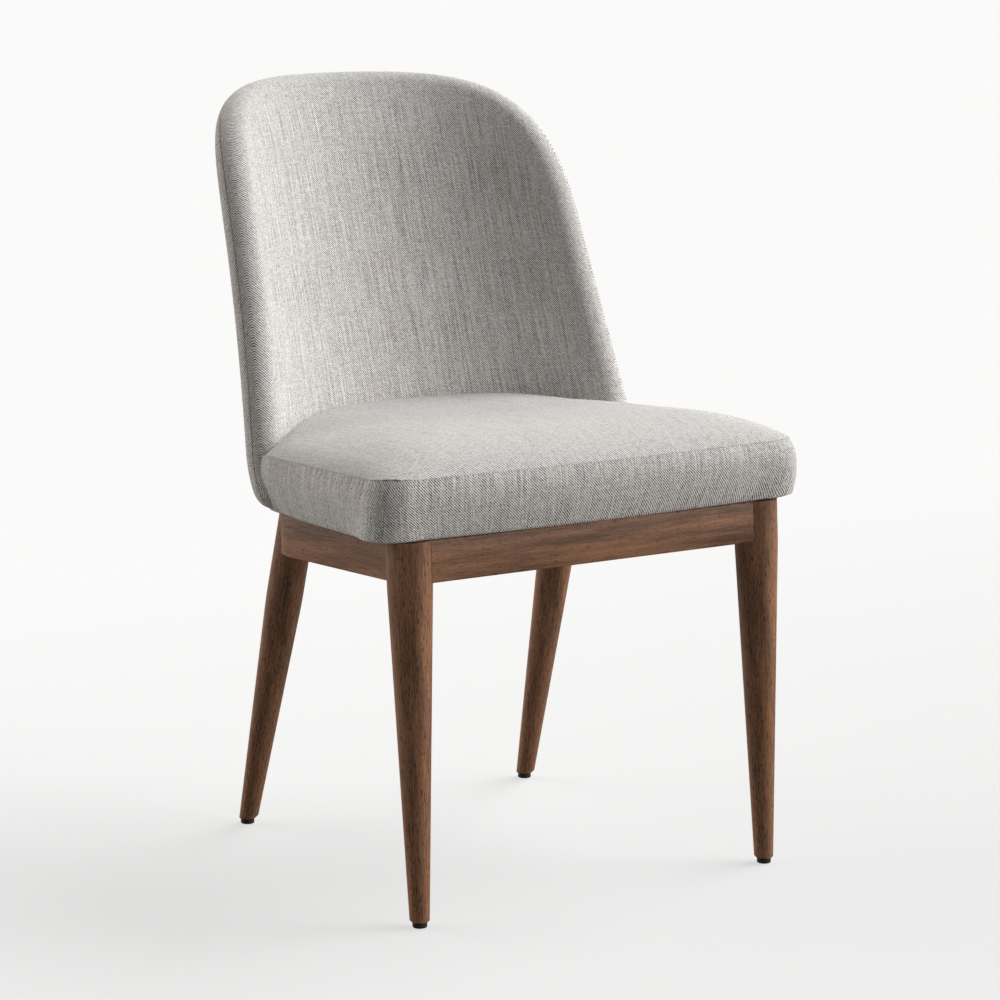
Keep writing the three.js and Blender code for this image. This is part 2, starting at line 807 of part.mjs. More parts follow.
function seatTopPanel() {
  const shares = [0, ...seat_ring_shares];
  const outer = shares.map((share) => seatTopRing(share, 0, 0));
  const inner = shares.map((share) => seatTopRing(share, 0, cover_thickness));
  return skinned([...outer.reverse(), ...inner]);
}

const boxing_low = rail_height + fit_gap;
const boxing_high = seam_level - skin_inset;
const boxing_rows = boxing_row_shares
  .map((share) => THREE.MathUtils.lerp(boxing_low, boxing_high, share));

function seatPadding() {
  const inset = skin_inset + fit_gap;
  const low = deck_top + fit_gap;
  const ring = (height) => seatLoop((height - rail_height) / boxing_height, inset)
    .map(([x, s]) => new THREE.Vector3(x, s, height));
  const walls = [low, ...boxing_rows.slice(2, -1)].map(ring);
  const top = [0, ...seat_ring_shares].map((share) => seatTopRing(share, inset, inset));
  return skinned([...walls, ...top]);
}

// The boxing goes right round inside the back's thickness and folds under the deck.
function seatBoxing() {
  const ring = (height, inset) => seatLoop((height - rail_height) / boxing_height, inset)
    .map(([x, s]) => new THREE.Vector3(x, s, height));
  const outer = boxing_rows.map((height) => ring(height, 0));
  const floor = boxing_low + cover_thickness;
  const inner = [floor, ...boxing_rows.slice(1)].map((height) => ring(height, cover_thickness));
  const fold = [ring(floor, boxing_fold), ring(boxing_low, boxing_fold)];
  return hooped([...outer, ...inner.reverse(), ...fold]);
}

function seatDeck() {
  const rim = (deck_bottom - rail_height) / boxing_height;
  const shape = planShape(seatLoop(rim, skin_inset));
  return upright(shape, deck_bottom, deck_top);
}

// Build: back

const slab_cutter = toSolid(backSlab(-fit_gap));
const cleat_low = deck_top + fit_gap;
const cleat_high = cleat_low + cleat_height;
const cleat_far = back_half_thickness + back_crown + cleat_depth;
const cleat_middle = (cleat_low + cleat_high) / 2;

// The cleat stands upright on the deck and bends with the back.
function cleatBody(growth) {
  const stations = Array.from({ length: cleat_steps + 1 }, (_, i) => 2 * i / cleat_steps - 1);
  const row = (offset) => stations
    .map((share) => backLevelPoint((cleat_half_girth + growth) * share, cleat_middle, offset))
    .map((point) => [point.x, point.y]);
  const plan = planShape([...row(0), ...row(cleat_far + growth).reverse()]);
  return toSolid(upright(plan, cleat_low - growth, cleat_high + growth));
}

// Bolts enter through the cleat's front face and bite into the shell.
function cleatBolt(share) {
  const girth = cleat_half_girth * share;
  const origin = backLevelPoint(girth, cleat_middle, cleat_far);
  const backward = backLevelPoint(girth, cleat_middle, shell_front).sub(origin);
  const tip = backward.length() + cleat_bolt_bite;
  const head = cleat_bolt_head_thickness;
  const start = head + fit_gap;
  const profile = [
    [0, 0], [cleat_bolt_head_radius, 0], [cleat_bolt_head_radius, head],
    [cleat_bolt_radius, head], [cleat_bolt_radius, tip], [0, tip],
  ];
  const wide = cleat_bolt_head_radius + fit_gap;
  const narrow = cleat_bolt_radius + fit_gap;
  const holeProfile = [
    [0, -overrun], [wide, -overrun], [wide, start], [narrow, start],
    [narrow, tip + fit_gap], [0, tip + fit_gap],
  ];
  return {
    bolt: aimed(turned(profile, small_sides), origin, backward),
    hole: toSolid(aimed(turned(holeProfile, small_sides), origin, backward)),
  };
}

const cleat_bolts = cleat_bolt_girths_share.map(cleatBolt);
const cleat_bolt_holes = cleat_bolts.map(({ hole }) => hole);

const cleat_screw_low = deck_bottom;
const cleat_screw_high = cleat_low + screw_bite;
const cleat_screw_places = cleat_screw_girths_share.map((share) => {
  const girth = cleat_half_girth * share;
  const point = backLevelPoint(girth, cleat_middle, cleat_far - cleat_depth / 2);
  return new THREE.Vector3(point.x, point.y, 0);
});
const cleat_screw_holes = cleat_screw_places
  .map((place) => toSolid(aimed(screwHole(cleat_screw_low, cleat_screw_high), place, upwards)));

addMesh(frame, 'back_shell', cutAway(toSolid(backShell()), ...cleat_bolt_holes), beech);
addMesh(frame, 'back_foam', cutAway(toSolid(backFoam()), ...cleat_bolt_holes), foam);
addMesh(frame, 'back_wadding', backWadding(), foam);
addMesh(frame, 'inside_back_cover', cutAway(toSolid(insideCover()), ...cleat_bolt_holes), linen);
addMesh(frame, 'outside_back_cover', outsideCover(), linen);
const cleat = cutAway(cleatBody(0), slab_cutter, ...cleat_bolt_holes, ...cleat_screw_holes);
addMesh(frame, 'back_cleat', cleat, beech);
cleat_bolts.forEach(({ bolt }, i) => addMesh(frame, `back_bolt_${i + 1}`, bolt, steel));
cleat_screw_places.forEach((place, i) => {
  const body = aimed(screw(cleat_screw_low, cleat_screw_high), place, upwards);
  addMesh(frame, `cleat_screw_${i + 1}`, body, steel);
});

// Build: seat

const deck_screw_places = [true, false]
  .flatMap((isFront) => sides.map(({ side, label }) => (
    { name: `${isFront ? 'front' : 'rear'}_${label}`, place: deckScrewPlace(isFront, side) })));
const deck_screw_holes = deck_screw_places
  .map(({ place }) => toSolid(aimed(screwHole(deck_screw_low, deck_screw_high), place, upwards)));

const deck = cutAway(toSolid(seatDeck()), slab_cutter, ...deck_screw_holes, ...cleat_screw_holes);
addMesh(frame, 'seat_deck', deck, beech);
const padding = cutAway(toSolid(seatPadding()), slab_cutter, cleatBody(fit_gap));
addMesh(frame, 'seat_foam', mainBody(padding), foam);
const top_panel = cutAway(toSolid(seatTopPanel()), slab_cutter);
addMesh(frame, 'seat_top_panel', mainBody(top_panel), linen);
const boxing = cutAway(toSolid(seatBoxing()), slab_cutter);
addMesh(frame, 'seat_boxing', mainBody(boxing), linen);

// Build: legs, glides and nails

for (const isFront of [true, false]) {
  for (const { side, label } of sides) {
    const axis = legAxis(isFront, side);
    const name = `${isFront ? 'front' : 'rear'}_${label}`;
    const foot = footPoint(axis).applyMatrix4(toWorld);
    const pilot = rod(nail_radius + fit_gap, 0, glide_height + nail_length + fit_gap);
    const pilotHole = toSolid(pilot.translate(foot.x, foot.y, 0).applyMatrix4(toFrame));
    const raw = toSolid(legTurning(isFront, axis)).intersect(footForm(axis));
    const holes = [leg_ceiling, pilotHole];
    if (isFront) {
      holes.push(frontRailTenon(side, fit_gap), sideRailTenon(side, fit_gap));
      const start = front_leg_radius - leg_bolt_depth;
      const hole = frontBoltRod(side, leg_bolt_radius + fit_gap, start, front_block_face);
      holes.push(toSolid(hole));
    } else {
      holes.push(toSolid(sideRailShape(side, fit_gap)));
      const face = rearFaceAt(rear_leg_x);
      for (const height of rear_bolt_heights) {
        const end = face + fit_gap + insert_length + 2 * fit_gap + rear_bolt_radius;
        holes.push(toSolid(rearBoltRod(side, height, insert_radius + fit_gap, face - overrun, end)));
      }
    }
    addMesh(frame, `${name}_leg`, cutAway(raw, ...holes), walnut);

    const glide = turned([
      [0, glide_floor], [nail_head_radius + fit_gap, glide_floor],
      [nail_head_radius + fit_gap, glide_floor + nail_head_thickness + 2 * fit_gap],
      [nail_radius + fit_gap, glide_floor + nail_head_thickness + 2 * fit_gap],
      [nail_radius + fit_gap, glide_height], [glide_radius, glide_height],
      [glide_radius, glide_edge], [glide_radius - glide_edge, 0], [0, 0],
    ], round_sides / 2);
    const nailBase = glide_floor + fit_gap;
    const nailTop = glide_height + nail_length;
    const nail = turned([
      [0, nailBase], [nail_head_radius, nailBase], [nail_head_radius, nailBase + nail_head_thickness],
      [nail_radius, nailBase + nail_head_thickness], [nail_radius, nailTop - nail_point], [0, nailTop],
    ], small_sides);
    addMesh(chair, `${name}_glide`, glide, black_plastic).position.set(foot.x, foot.y, 0);
    addMesh(chair, `${name}_glide_nail`, nail, steel).position.set(foot.x, foot.y, 0);
  }
}

// Build: rails

const front_legs_grown = sides.map(({ side }) => toSolid(legTurning(true, legAxis(true, side), fit_gap)));
const rear_legs_grown = sides.map(({ side }) => toSolid(legTurning(false, legAxis(false, side), fit_gap)));
const front_rail_bar = upright(planShape([
  [-front_leg_x, 0], [front_leg_x, 0], [front_leg_x, rail_thickness], [-front_leg_x, rail_thickness],
]), 0, rail_height, rail_arris);
const front_rail = sides.reduce(
  (rail, { side }) => rail.add(frontRailTenon(side)),
  cutAway(toSolid(front_rail_bar), ...front_legs_grown),
);
addMesh(frame, 'front_rail', front_rail, walnut);

const rear_rail_bar = upright(planShape([
  [-rear_rail_half_length + fit_gap, frame_depth - rail_thickness],
  [rear_rail_half_length - fit_gap, frame_depth - rail_thickness],
  [rear_rail_half_length - fit_gap, frame_depth],
  [-rear_rail_half_length + fit_gap, frame_depth],
]), 0, rail_height, rail_arris);
const rear_rail = sides.reduce((rail, { side }) => rail.add(rearRailTenon(side)), toSolid(rear_rail_bar));
addMesh(frame, 'rear_rail', rear_rail, walnut);

sides.forEach(({ side, label }) => {
  const bar = cutAway(toSolid(sideRailShape(side)), ...front_legs_grown).add(sideRailTenon(side));
  const holes = rear_bolt_heights.map((height) => (
    toSolid(rearBoltRod(side, height, rear_bolt_radius + fit_gap, 0, 2 * frame_depth))));
  addMesh(frame, `${label}_side_rail`, cutAway(bar, rearRailTenon(side, fit_gap), ...holes), walnut);
});

// Build: corner blocks and what goes through them

function frontBlockShape(side) {
  const x = front_block_x;
  const s = front_block_s;
  const leg = front_block_leg;
  const tip = front_block_tip;
  const shape = planShape([[x, s], [x, s + leg], [x - tip, s + leg], [x - leg, s + tip], [x - leg, s]]);
  return mirrored(upright(shape, block_low, block_high), side);
}

function rearBlockShape(side) {
  const radius = rear_block_radius;
  const [x, s] = [frame_corner_x, frame_corner_s];
  const shape = new THREE.Shape();
  shape.moveTo(x + radius, s - rear_block_run);
  shape.lineTo(x + radius, s);
  shape.absarc(x, s, radius, 0, Math.PI / 2, false);
  shape.lineTo(x - rear_block_run, s + radius);
  shape.lineTo(x - rear_block_run, s + radius - rear_block_tip);
  shape.lineTo(x + radius - rear_block_tip, s - rear_block_run);
  return mirrored(upright(shape, block_low, block_high), side);
}

sides.forEach(({ side, label }) => {
  const nutStart = front_block_face + fit_gap;
  const boltHole = toSolid(frontBoltRod(side, leg_bolt_radius + fit_gap, 0, 2 * front_block_face));
  const block = cutAway(
    toSolid(frontBlockShape(side)), ...front_legs_grown, boltHole, ...deck_screw_holes,
  );
  addMesh(frame, `front_${label}_corner_block`, block, beech);
  const boltStart = front_leg_radius - leg_bolt_depth + fit_gap;
  const bolt = frontBoltRod(side, leg_bolt_radius, boltStart, boltStart + leg_bolt_length);
  addMesh(frame, `front_${label}_leg_bolt`, bolt, steel);
  const washer = toSolid(frontBoltRod(side, washer_radius, nutStart, nutStart + washer_thickness));
  addMesh(frame, `front_${label}_washer`, washer.subtract(boltHole), steel);
  const nutBase = nutStart + washer_thickness + fit_gap;
  const { centre, inward } = frontBoltAxis(side);
  const nut = toSolid(aimed(rod(nut_radius, nutBase, nutBase + nut_thickness, 6), centre, inward));
  addMesh(frame, `front_${label}_nut`, nut.subtract(boltHole), steel);
});

sides.forEach(({ side, label }) => {
  const holes = rear_bolt_heights.map((height) => (
    toSolid(rearBoltRod(side, height, rear_bolt_radius + fit_gap, 0, 2 * frame_depth))));
  const pockets = rear_bolt_heights.map((height) => (
    toSolid(rearBoltRod(side, height, rear_bolt_head_radius + fit_gap, 0, rear_bolt_seat))));
  const block = cutAway(toSolid(rearBlockShape(side)), ...holes, ...pockets, ...deck_screw_holes);
  addMesh(frame, `rear_${label}_corner_block`, block, beech);
  const face = rearFaceAt(rear_leg_x);
  const insertStart = rearFaceAt(rear_leg_x - insert_radius) + 2 * fit_gap;
  rear_bolt_heights.forEach((height, i) => {
    const level = i === 0 ? 'lower' : 'upper';
    const insertEnd = insertStart + insert_length;
    const sleeve = toSolid(rearBoltRod(side, height, insert_radius, insertStart, insertEnd));
    addMesh(frame, `rear_${label}_${level}_insert`, sleeve.subtract(holes[i]), brass);
    const headStart = rear_bolt_seat - fit_gap - rear_bolt_head_thickness;
    const headEnd = headStart + rear_bolt_head_thickness;
    const shank = rearBoltRod(side, height, rear_bolt_radius, headStart, face + rear_bolt_reach);
    const head = rearBoltRod(side, height, rear_bolt_head_radius, headStart, headEnd);
    addMesh(frame, `rear_${label}_${level}_leg_bolt`, toSolid(shank).add(toSolid(head)), steel);
  });
});

deck_screw_places.forEach(({ name, place }) => {
  const body = aimed(screw(deck_screw_low, deck_screw_high), place, upwards);
  addMesh(frame, `${name}_deck_screw`, body, steel);
});

// Build: dust cloth under the deck, inside the boxing's fold

const cloth_high = deck_bottom - fit_gap;
const cloth_plan = planShape(seatLoop(
  (deck_bottom - rail_height) / boxing_height, boxing_fold + dust_cloth_margin,
));
const cloth = cutAway(
  toSolid(upright(cloth_plan, cloth_high - dust_cloth_thickness, cloth_high)),
  slab_cutter, ...deck_screw_holes, ...cleat_screw_holes,
);
addMesh(frame, 'dust_cloth', cloth, dust_cloth);

// Stand the chair with its origin on the floor, at the middle of its outer box.
chair.updateMatrixWorld(true);
const outer_box = new THREE.Box3().setFromObject(chair, true);
chair.position.y = -(outer_box.min.y + outer_box.max.y) / 2;

export default chair;
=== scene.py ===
"""A dining chair with a curved, fully covered back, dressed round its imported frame.

Lengths are metres. The upper part is drawn square to the rail frame, which is pitched down to
the rear: x runs across, s runs back from the front rail's face and h rises from the rails' lower
edge. On the back, girth is measured round the bend and rise along h.
"""

import json
import math

import bmesh
import bpy
import numpy as np
from bpy.props import FloatProperty, FloatVectorProperty, PointerProperty
from mathutils import Matrix, Vector, noise
from mathutils.bvhtree import BVHTree


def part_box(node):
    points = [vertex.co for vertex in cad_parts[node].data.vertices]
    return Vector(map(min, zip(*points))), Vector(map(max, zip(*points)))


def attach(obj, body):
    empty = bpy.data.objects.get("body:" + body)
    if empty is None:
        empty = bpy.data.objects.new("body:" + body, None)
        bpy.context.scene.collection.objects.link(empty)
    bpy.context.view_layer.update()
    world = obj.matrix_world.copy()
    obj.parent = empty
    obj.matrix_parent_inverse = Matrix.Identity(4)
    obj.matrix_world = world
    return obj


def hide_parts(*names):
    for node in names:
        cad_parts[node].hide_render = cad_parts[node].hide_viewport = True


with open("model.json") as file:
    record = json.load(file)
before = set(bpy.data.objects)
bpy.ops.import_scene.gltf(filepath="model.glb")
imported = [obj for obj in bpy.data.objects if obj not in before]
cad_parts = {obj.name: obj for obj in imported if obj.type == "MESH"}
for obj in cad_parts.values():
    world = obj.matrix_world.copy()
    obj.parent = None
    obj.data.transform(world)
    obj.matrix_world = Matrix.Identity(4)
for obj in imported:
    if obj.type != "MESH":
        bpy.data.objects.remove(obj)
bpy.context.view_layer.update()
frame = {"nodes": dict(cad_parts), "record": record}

bl_info = {
    "name": "Curved Back Dining Chair",
    "version": (1, 0, 0),
    "blender": (4, 5, 0),
    "location": "View3D > Sidebar > Chair",
    "description": "Covers a dining chair in woven cloth and dresses its stained wooden frame",
    "category": "Add Mesh",
}

# Rail frame
PITCH = math.radians(3.2)
RAIL_FLOOR = 0.355
RAIL_ARRIS = 0.0015
FRONT_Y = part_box("front_rail")[0].y - RAIL_ARRIS * math.sin(PITCH)
FRAME_HALF_WIDTH = 0.226
FRAME_DEPTH = 0.316
FRAME_CORNER = 0.065
RAIL_HEIGHT = 0.044
RAIL_THICKNESS = 0.022
REAR_RAIL_HALF_LENGTH = 0.128
GAP = 0.0003

# Legs and glides
FRONT_LEG_RADIUS = 0.0233
FRONT_LEG_X = 0.215
FRONT_LEG_S = 0.0177
FRONT_LEG_SPLAY = math.radians(0.3)
FRONT_LEG_SHOULDER = 0.002
REAR_LEG_RADIUS = 0.020
REAR_LEG_X = 0.1744
REAR_LEG_RAKE = math.radians(19)
REAR_LEG_SPLAY = math.radians(1.84)
REAR_LEG_SHOULDER = 0.068
REAR_LEG_S = FRAME_DEPTH + REAR_LEG_RADIUS / math.cos(REAR_LEG_RAKE)
SHOULDER_EASE = 0.010
FOOT_RADIUS = 0.0101
FOOT_CHAMFER = 0.0016
GLIDE_RADIUS = 0.0076
GLIDE_HEIGHT = 0.0054
GLIDE_EDGE = 0.0012
GLIDE_TOP_CHAMFER = 0.0006
NAIL_HOLE_RADIUS = 0.0039
NAIL_HOLE_DEPTH = 0.0016

# Seat
COVER = 0.0015
DECK_TOP = 0.0581
DECK_BOTTOM = 0.0461
BOXING_HEIGHT = 0.0663
BOXING_BULGE = 0.007
BOXING_FOLD = 0.025
BOXING_TURN = 0.0040
SIDE_OVERHANG = 0.024
SIDE_LEAN = 0.008
FRONT_OVERHANG = 0.0103
FRONT_LEAN = 0.0179
SEAT_BOW = 0.016
SEAT_CORNER = 0.033
SWELL_REACH = 0.034
SEAT_SIDE_BOW = 0.0035
SEAT_REAR_HALF_WIDTH = 0.221
SEAT_REAR_LEAN = 0.016
SEAT_SIDE_DEPTH = 0.297
SEAT_CROWN = 0.0314
CROWN_REACH_FRONT = 0.160
CROWN_REACH_REAR = 0.250
SEAM_LEVEL = RAIL_HEIGHT + BOXING_HEIGHT
SEAT_HEART = (0.0, SEAT_SIDE_DEPTH * 0.6)
SEAM_IN = math.cos(math.radians(34.5))
SEAM_DOWN = math.sin(math.radians(34.5))
DUST_COVER_THICKNESS = 0.0006

# Back
BACK_RISE = 0.460
BACK_SETBACK = 0.3888
BACK_RECLINE = math.radians(16.6)
BACK_RADII = (0.310, 0.255, 0.248)
BACK_HALF_GIRTH = 0.2796
ARCH_HALF_GIRTH = 0.260
ARCH_RISE = 0.293
ARCH_SIDE_PULL = 0.154
ARCH_TOP_PULL = 0.167
LOWER_CORNER = 0.025
HALF_THICKNESS = 0.019
BACK_TUCK = 0.0143
BACK_TUCK_HEIGHT = 0.066
BACK_LIFT = 0.006
BACK_CROWN = 0.005
REAR_CROWN_SHARE = 0.3
CROWN_SHARE = 0.3
ROLL_START = math.radians(83)
BACK_SEAM = math.radians(-28)
SEAM_SPLIT = 0.0004
SEAM_ALLOWANCE = 0.0018
SHELL_FRONT = 0.001
SHELL_REAR = -0.010
SHELL_INSET = 0.006
BACK_BASE = RAIL_HEIGHT + BACK_LIFT
BACK_TOP = RAIL_HEIGHT + BACK_RISE
BACK_HEART = (0.0, (BACK_BASE + BACK_TOP) / 2)

# Soft unevenness: size of its waves and the place in its noise
BACK_WAVE = (0.085, 3.0)
SEAT_WAVE = (0.075, 8.0)
DUST_WAVE = (0.05, 5.0)

# Soft lamps: name, turn from the chair's rear towards its right and height in degrees, level, and
# share of green against red, where less is warmer
STUDIO_LAMPS = (
    ("right_lamp", 94, 45, 0.84, 1.0),
    ("right_rear_lamp", 45, 15, 0.38, 1.0),
    ("right_front_lamp", 134, 15, 0.56, 0.97),
    ("rear_lamp", 0, 15, 0.15, 0.96),
    ("left_rear_lamp", 315, 15, 0.36, 0.94),
    ("left_top_lamp", 315, 45, 0.13, 0.94),
)
LAMP_WIDTH = math.radians(45)
WORLD_LEVEL = 0.02
BACKDROP_LEVEL = 0.94
DARK_WALL_WAY = (-0.53, -0.83, 0.18)

CAMERA_PLACE = (-1.9330, -3.1697, 1.0728)
CAMERA_TURN = math.radians(32.0345)
CAMERA_TILT = math.radians(10.6084)
CAMERA_LENS = 123.9

FLOOR_HALF_SIZE = 40
FLOOR_DROP = 0.0002

# How finely the pieces are drawn, and where their rings lie: in metres from a seam, and in shares
# of the way to the back's heart
BACK_HALF_COUNT = 241
SEAT_COUNTS = (64, 18, 70, 50)
ROUND_COUNT = 96
SEAM_STEPS = (0.0, 0.0002, 0.0005, 0.0009, 0.0014, 0.002, 0.003, 0.0045, 0.0065)
TOP_STEPS = (0.009, 0.012, 0.0155, 0.0195, 0.0235, 0.0275)
ROLL_STEPS = (0.0, 0.0002, 0.0005, 0.001, 0.0016, 0.0023, 0.0032)
ROLL_FIRST_EVEN = 0.0048
FACE_SHARES = 1 - np.linspace(1, 0.02, 34)[1:]

# Edges sharper than these angles in degrees stay crisp
CLOTH_ANGLE = 50
LEG_ANGLE = 30
RAIL_ANGLE = 35
GLIDE_ANGLE = 40

# Fine wear: scale of its noise, metallic share, range of roughness and relief
METAL_FINISH = (500.0, 1.0, (0.28, 0.45), 0.00002)
GLIDE_FINISH = (900.0, 0.0, (0.38, 0.55), 0.00002)


# Places

def chair_sizes():
    return bpy.context.scene.chair_sizes


def pitched(points):
    """Points given across, back and up in the rail frame, as points in world space."""
    x, s, h = (np.asarray(points)[..., i] for i in range(3))
    y = FRONT_Y + s * math.cos(PITCH) + h * math.sin(PITCH)
    z = RAIL_FLOOR - s * math.sin(PITCH) + h * math.cos(PITCH)
    return np.stack([x, y, z], axis=-1)


def rail_frame_matrix():
    turn = Matrix.Rotation(-PITCH, 4, "X")
    return Matrix.Translation((0, FRONT_Y, RAIL_FLOOR)) @ turn


def raised(places, height):
    """Level places with a height, the same for all or one for each."""
    return np.column_stack([places, np.broadcast_to(height, len(places))])


def drawn_in(places, heart, share):
    """Places moved by a share of their way to a heart."""
    return places + (np.array(heart) - places) * share


def unit(vectors):
    return vectors / np.maximum(np.linalg.norm(vectors, axis=-1, keepdims=True), 1e-9)


def sideways(steps):
    """Unit directions square to a run's steps, on its right."""
    return unit(np.stack([steps[:, 1], -steps[:, 0]], axis=-1))


def run_lengths(points):
    """Length along an open run, up to each of its points."""
    steps = np.linalg.norm(np.diff(points, axis=0), axis=1)
    return np.concatenate([[0.0], np.cumsum(steps)])


def unevenness(places, wave, height):
    """A soft, fixed unevenness of padding: one value for each level place."""
    size, seed = wave
    shift = Vector((seed, seed * 0.7, -seed))
    return np.array([noise.noise(Vector((*p, 0)) / size + shift) for p in places]) * height


def even_run(points, count):
    """Points at even steps along an open run."""
    along = run_lengths(points)
    wanted = np.linspace(0.0, along[-1], count)
    return np.stack([np.interp(wanted, along, points[:, i]) for i in range(2)], axis=-1)


def closed_loop(half):
    """A half outline on the right, from middle to middle, with its mirror image."""
    return np.concatenate([half, half[1:-1][::-1] * np.array([-1.0, 1.0])])


def rolled_in(distance, radius):
    """How deep cloth lies at a distance from a seam that it rolls into."""
    short = min(max(radius - distance, 0.0), radius)
    return radius - math.sqrt(radius ** 2 - short ** 2)


def seat_seam_fall(distance):
    """How deep the seat's cloth lies near its seam: a soft shoulder and a tight pinch."""
    sizes = chair_sizes()
    soft = sizes.shoulder_fall * max(0.0, 1 - distance / sizes.shoulder_reach) ** 2
    return soft + rolled_in(distance, sizes.seam_depth)


def arc_points(centre, radius, start, end, count):
    turns = np.radians(np.linspace(start, end, count))
    return np.stack([centre[0] + radius * np.cos(turns), centre[1] + radius * np.sin(turns)], -1)


def bezier_points(a, b, c, d, count):
    t = np.linspace(0, 1, count)[:, None]
    a, b, c, d = (np.array(p) for p in (a, b, c, d))
    return (1 - t) ** 3 * a + 3 * (1 - t) ** 2 * t * b + 3 * (1 - t) * t ** 2 * c + t ** 3 * d


# Meshes

def add_map(mesh, name, coords):
    """A map in metres, from one place for each vertex."""
    corners = np.zeros(len(mesh.loops), np.int32)
    mesh.loops.foreach_get("vertex_index", corners)
    layer = mesh.uv_layers.new(name=name)
    layer.data.foreach_set("uv", np.asarray(coords, np.float32)[corners].ravel())


def add_seam_map(piece, along=1.0, away=1.0):
    """A second map: metres along the seam and away from it, or a metre off where none is near."""
    coords = np.stack(np.broadcast_arrays(along, away), axis=-1).reshape(-1, 2)
    extra = len(piece.data.vertices) - len(coords)
    add_map(piece.data, "seam", np.concatenate([coords, np.ones((extra, 2))]))


def new_piece(name, points, faces, cloth=None):
    """A smooth mesh piece, with cloth coordinates in metres where they are given."""
    mesh = bpy.data.meshes.new(name)
    mesh.from_pydata(np.asarray(points, float).tolist(), [], faces)
    mesh.validate()
    if cloth is not None:
        add_map(mesh, "cloth", cloth)
    mesh.shade_smooth()
    mesh.update()
    work = bmesh.new()
    work.from_mesh(mesh)
    bmesh.ops.recalc_face_normals(work, faces=work.faces)
    work.to_mesh(mesh)
    work.free()
    piece = bpy.data.objects.new(name, mesh)
    bpy.context.scene.collection.objects.link(piece)
    return piece


def skinned(name, rings, cloth, is_hoop=False):
    """A body through rings in order, closed by its ends' middles or joined end to end."""
    rings, cloth = np.asarray(rings), np.asarray(cloth)
    rows, count = rings.shape[:2]
    points, coords = rings.reshape(-1, 3), cloth.reshape(-1, 2)
    pairs = [(i, (i + 1) % count) for i in range(count)]
    faces = []
    for row in range(rows if is_hoop else rows - 1):
        low, high = row * count, (row + 1) % rows * count
        faces += [(low + i, low + j, high + j, high + i) for i, j in pairs]
    if not is_hoop:
        points = np.concatenate([points, rings[[0, -1]].mean(axis=1)])
        coords = np.concatenate([coords, cloth[[0, -1]].mean(axis=1)])
        end, middle = (rows - 1) * count, rows * count
        for i, j in pairs:
            faces += [(middle, j, i), (middle + 1, end + i, end + j)]
    return new_piece(name, points, faces, coords)


def turned(name, profile, count=ROUND_COUNT):
    """A body turned round its own Z from a profile of radius and height."""
    turns = np.linspace(0.0, 2 * math.pi, count, endpoint=False)
    rings = [[(r * math.cos(t), r * math.sin(t), z) for t in turns] for r, z in profile]
    return skinned(name, rings, [[(r * t, z) for t in turns] for r, z in profile])


def box_body(name, low, high, matrix):
    corners = [(x, y, z) for x in (low[0], high[0]) for y in (low[1], high[1])
               for z in (low[2], high[2])]
    faces = [(0, 1, 3, 2), (4, 6, 7, 5), (0, 4, 5, 1), (2, 3, 7, 6), (0, 2, 6, 4), (1, 5, 7, 3)]
    body = new_piece(name, corners, faces)
    body.matrix_world = matrix
    return body


def combine(piece, other, operation="DIFFERENCE"):
    """Cuts a piece by another body, or keeps only what both fill. The other stays as it was."""
    step = piece.modifiers.new("cut", "BOOLEAN")
    step.operation = operation
    step.object = other
    step.solver = "MANIFOLD"
    bpy.context.view_layer.update()
    graph = bpy.context.evaluated_depsgraph_get()
    cut = bpy.data.meshes.new_from_object(piece.evaluated_get(graph))
    piece.modifiers.clear()
    plain = piece.data
    piece.data = cut
    bpy.data.meshes.remove(plain)
    if not cut.polygons:
        raise RuntimeError(f"{piece.name} came out empty from its cut")


def drop(*bodies):
    for body in bodies:
        mesh = body.data
        bpy.data.objects.remove(body)
        bpy.data.meshes.remove(mesh)


def keep_main_body(piece):
    """Removes slivers that a cut has left apart from the piece."""
    work = bmesh.new()
    work.from_mesh(piece.data)
    unseen, groups = set(work.verts), []
    while unseen:
        front, group = [unseen.pop()], []
        while front:
            vert = front.pop()
            group.append(vert)
            for edge in vert.link_edges:
                other = edge.other_vert(vert)
                if other in unseen:
                    unseen.discard(other)
                    front.append(other)
        groups.append(group)
    for group in sorted(groups, key=len)[:-1]:
        bmesh.ops.delete(work, geom=group, context="VERTS")
    work.to_mesh(piece.data)
    work.free()


def crisp_edges(piece, angle):
    """Smooth shading, with edges sharper than an angle in degrees kept crisp."""
    piece.data.shade_smooth()
    piece.data.set_sharp_from_angle(angle=math.radians(angle))


def trimmed(piece, angle, *cutters):
    """Cuts a piece by bodies in order, drops its slivers and keeps its sharp edges crisp."""
    for cutter in cutters:
        combine(piece, cutter)
    keep_main_body(piece)
    crisp_edges(piece, angle)
    return piece


def finish_piece(piece, material, slot, *nodes):
    piece.data.materials.clear()
    piece.data.materials.append(material)
    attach(piece, "root")
    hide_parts(*nodes)


# The back's middle surface and its outline

def back_radius(h):
    t = (np.asarray(h) - RAIL_HEIGHT) / BACK_RISE
    base, middle, top = BACK_RADII
    return base * (1 - t) * (1 - 2 * t) + middle * 4 * t * (1 - t) + top * t * (2 * t - 1)


def back_middle(girth, h):
    girth, h = np.asarray(girth, float), np.asarray(h, float)
    radius = back_radius(h)
    tuck = BACK_TUCK * np.clip(1 - (h - RAIL_HEIGHT) / BACK_TUCK_HEIGHT, 0, None) ** 2
    angle = girth / radius
    centre = BACK_SETBACK + (h - RAIL_HEIGHT) * math.tan(BACK_RECLINE) - radius
    drawn = radius - tuck
    return np.stack([drawn * np.sin(angle), centre + drawn * np.cos(angle), h], axis=-1)


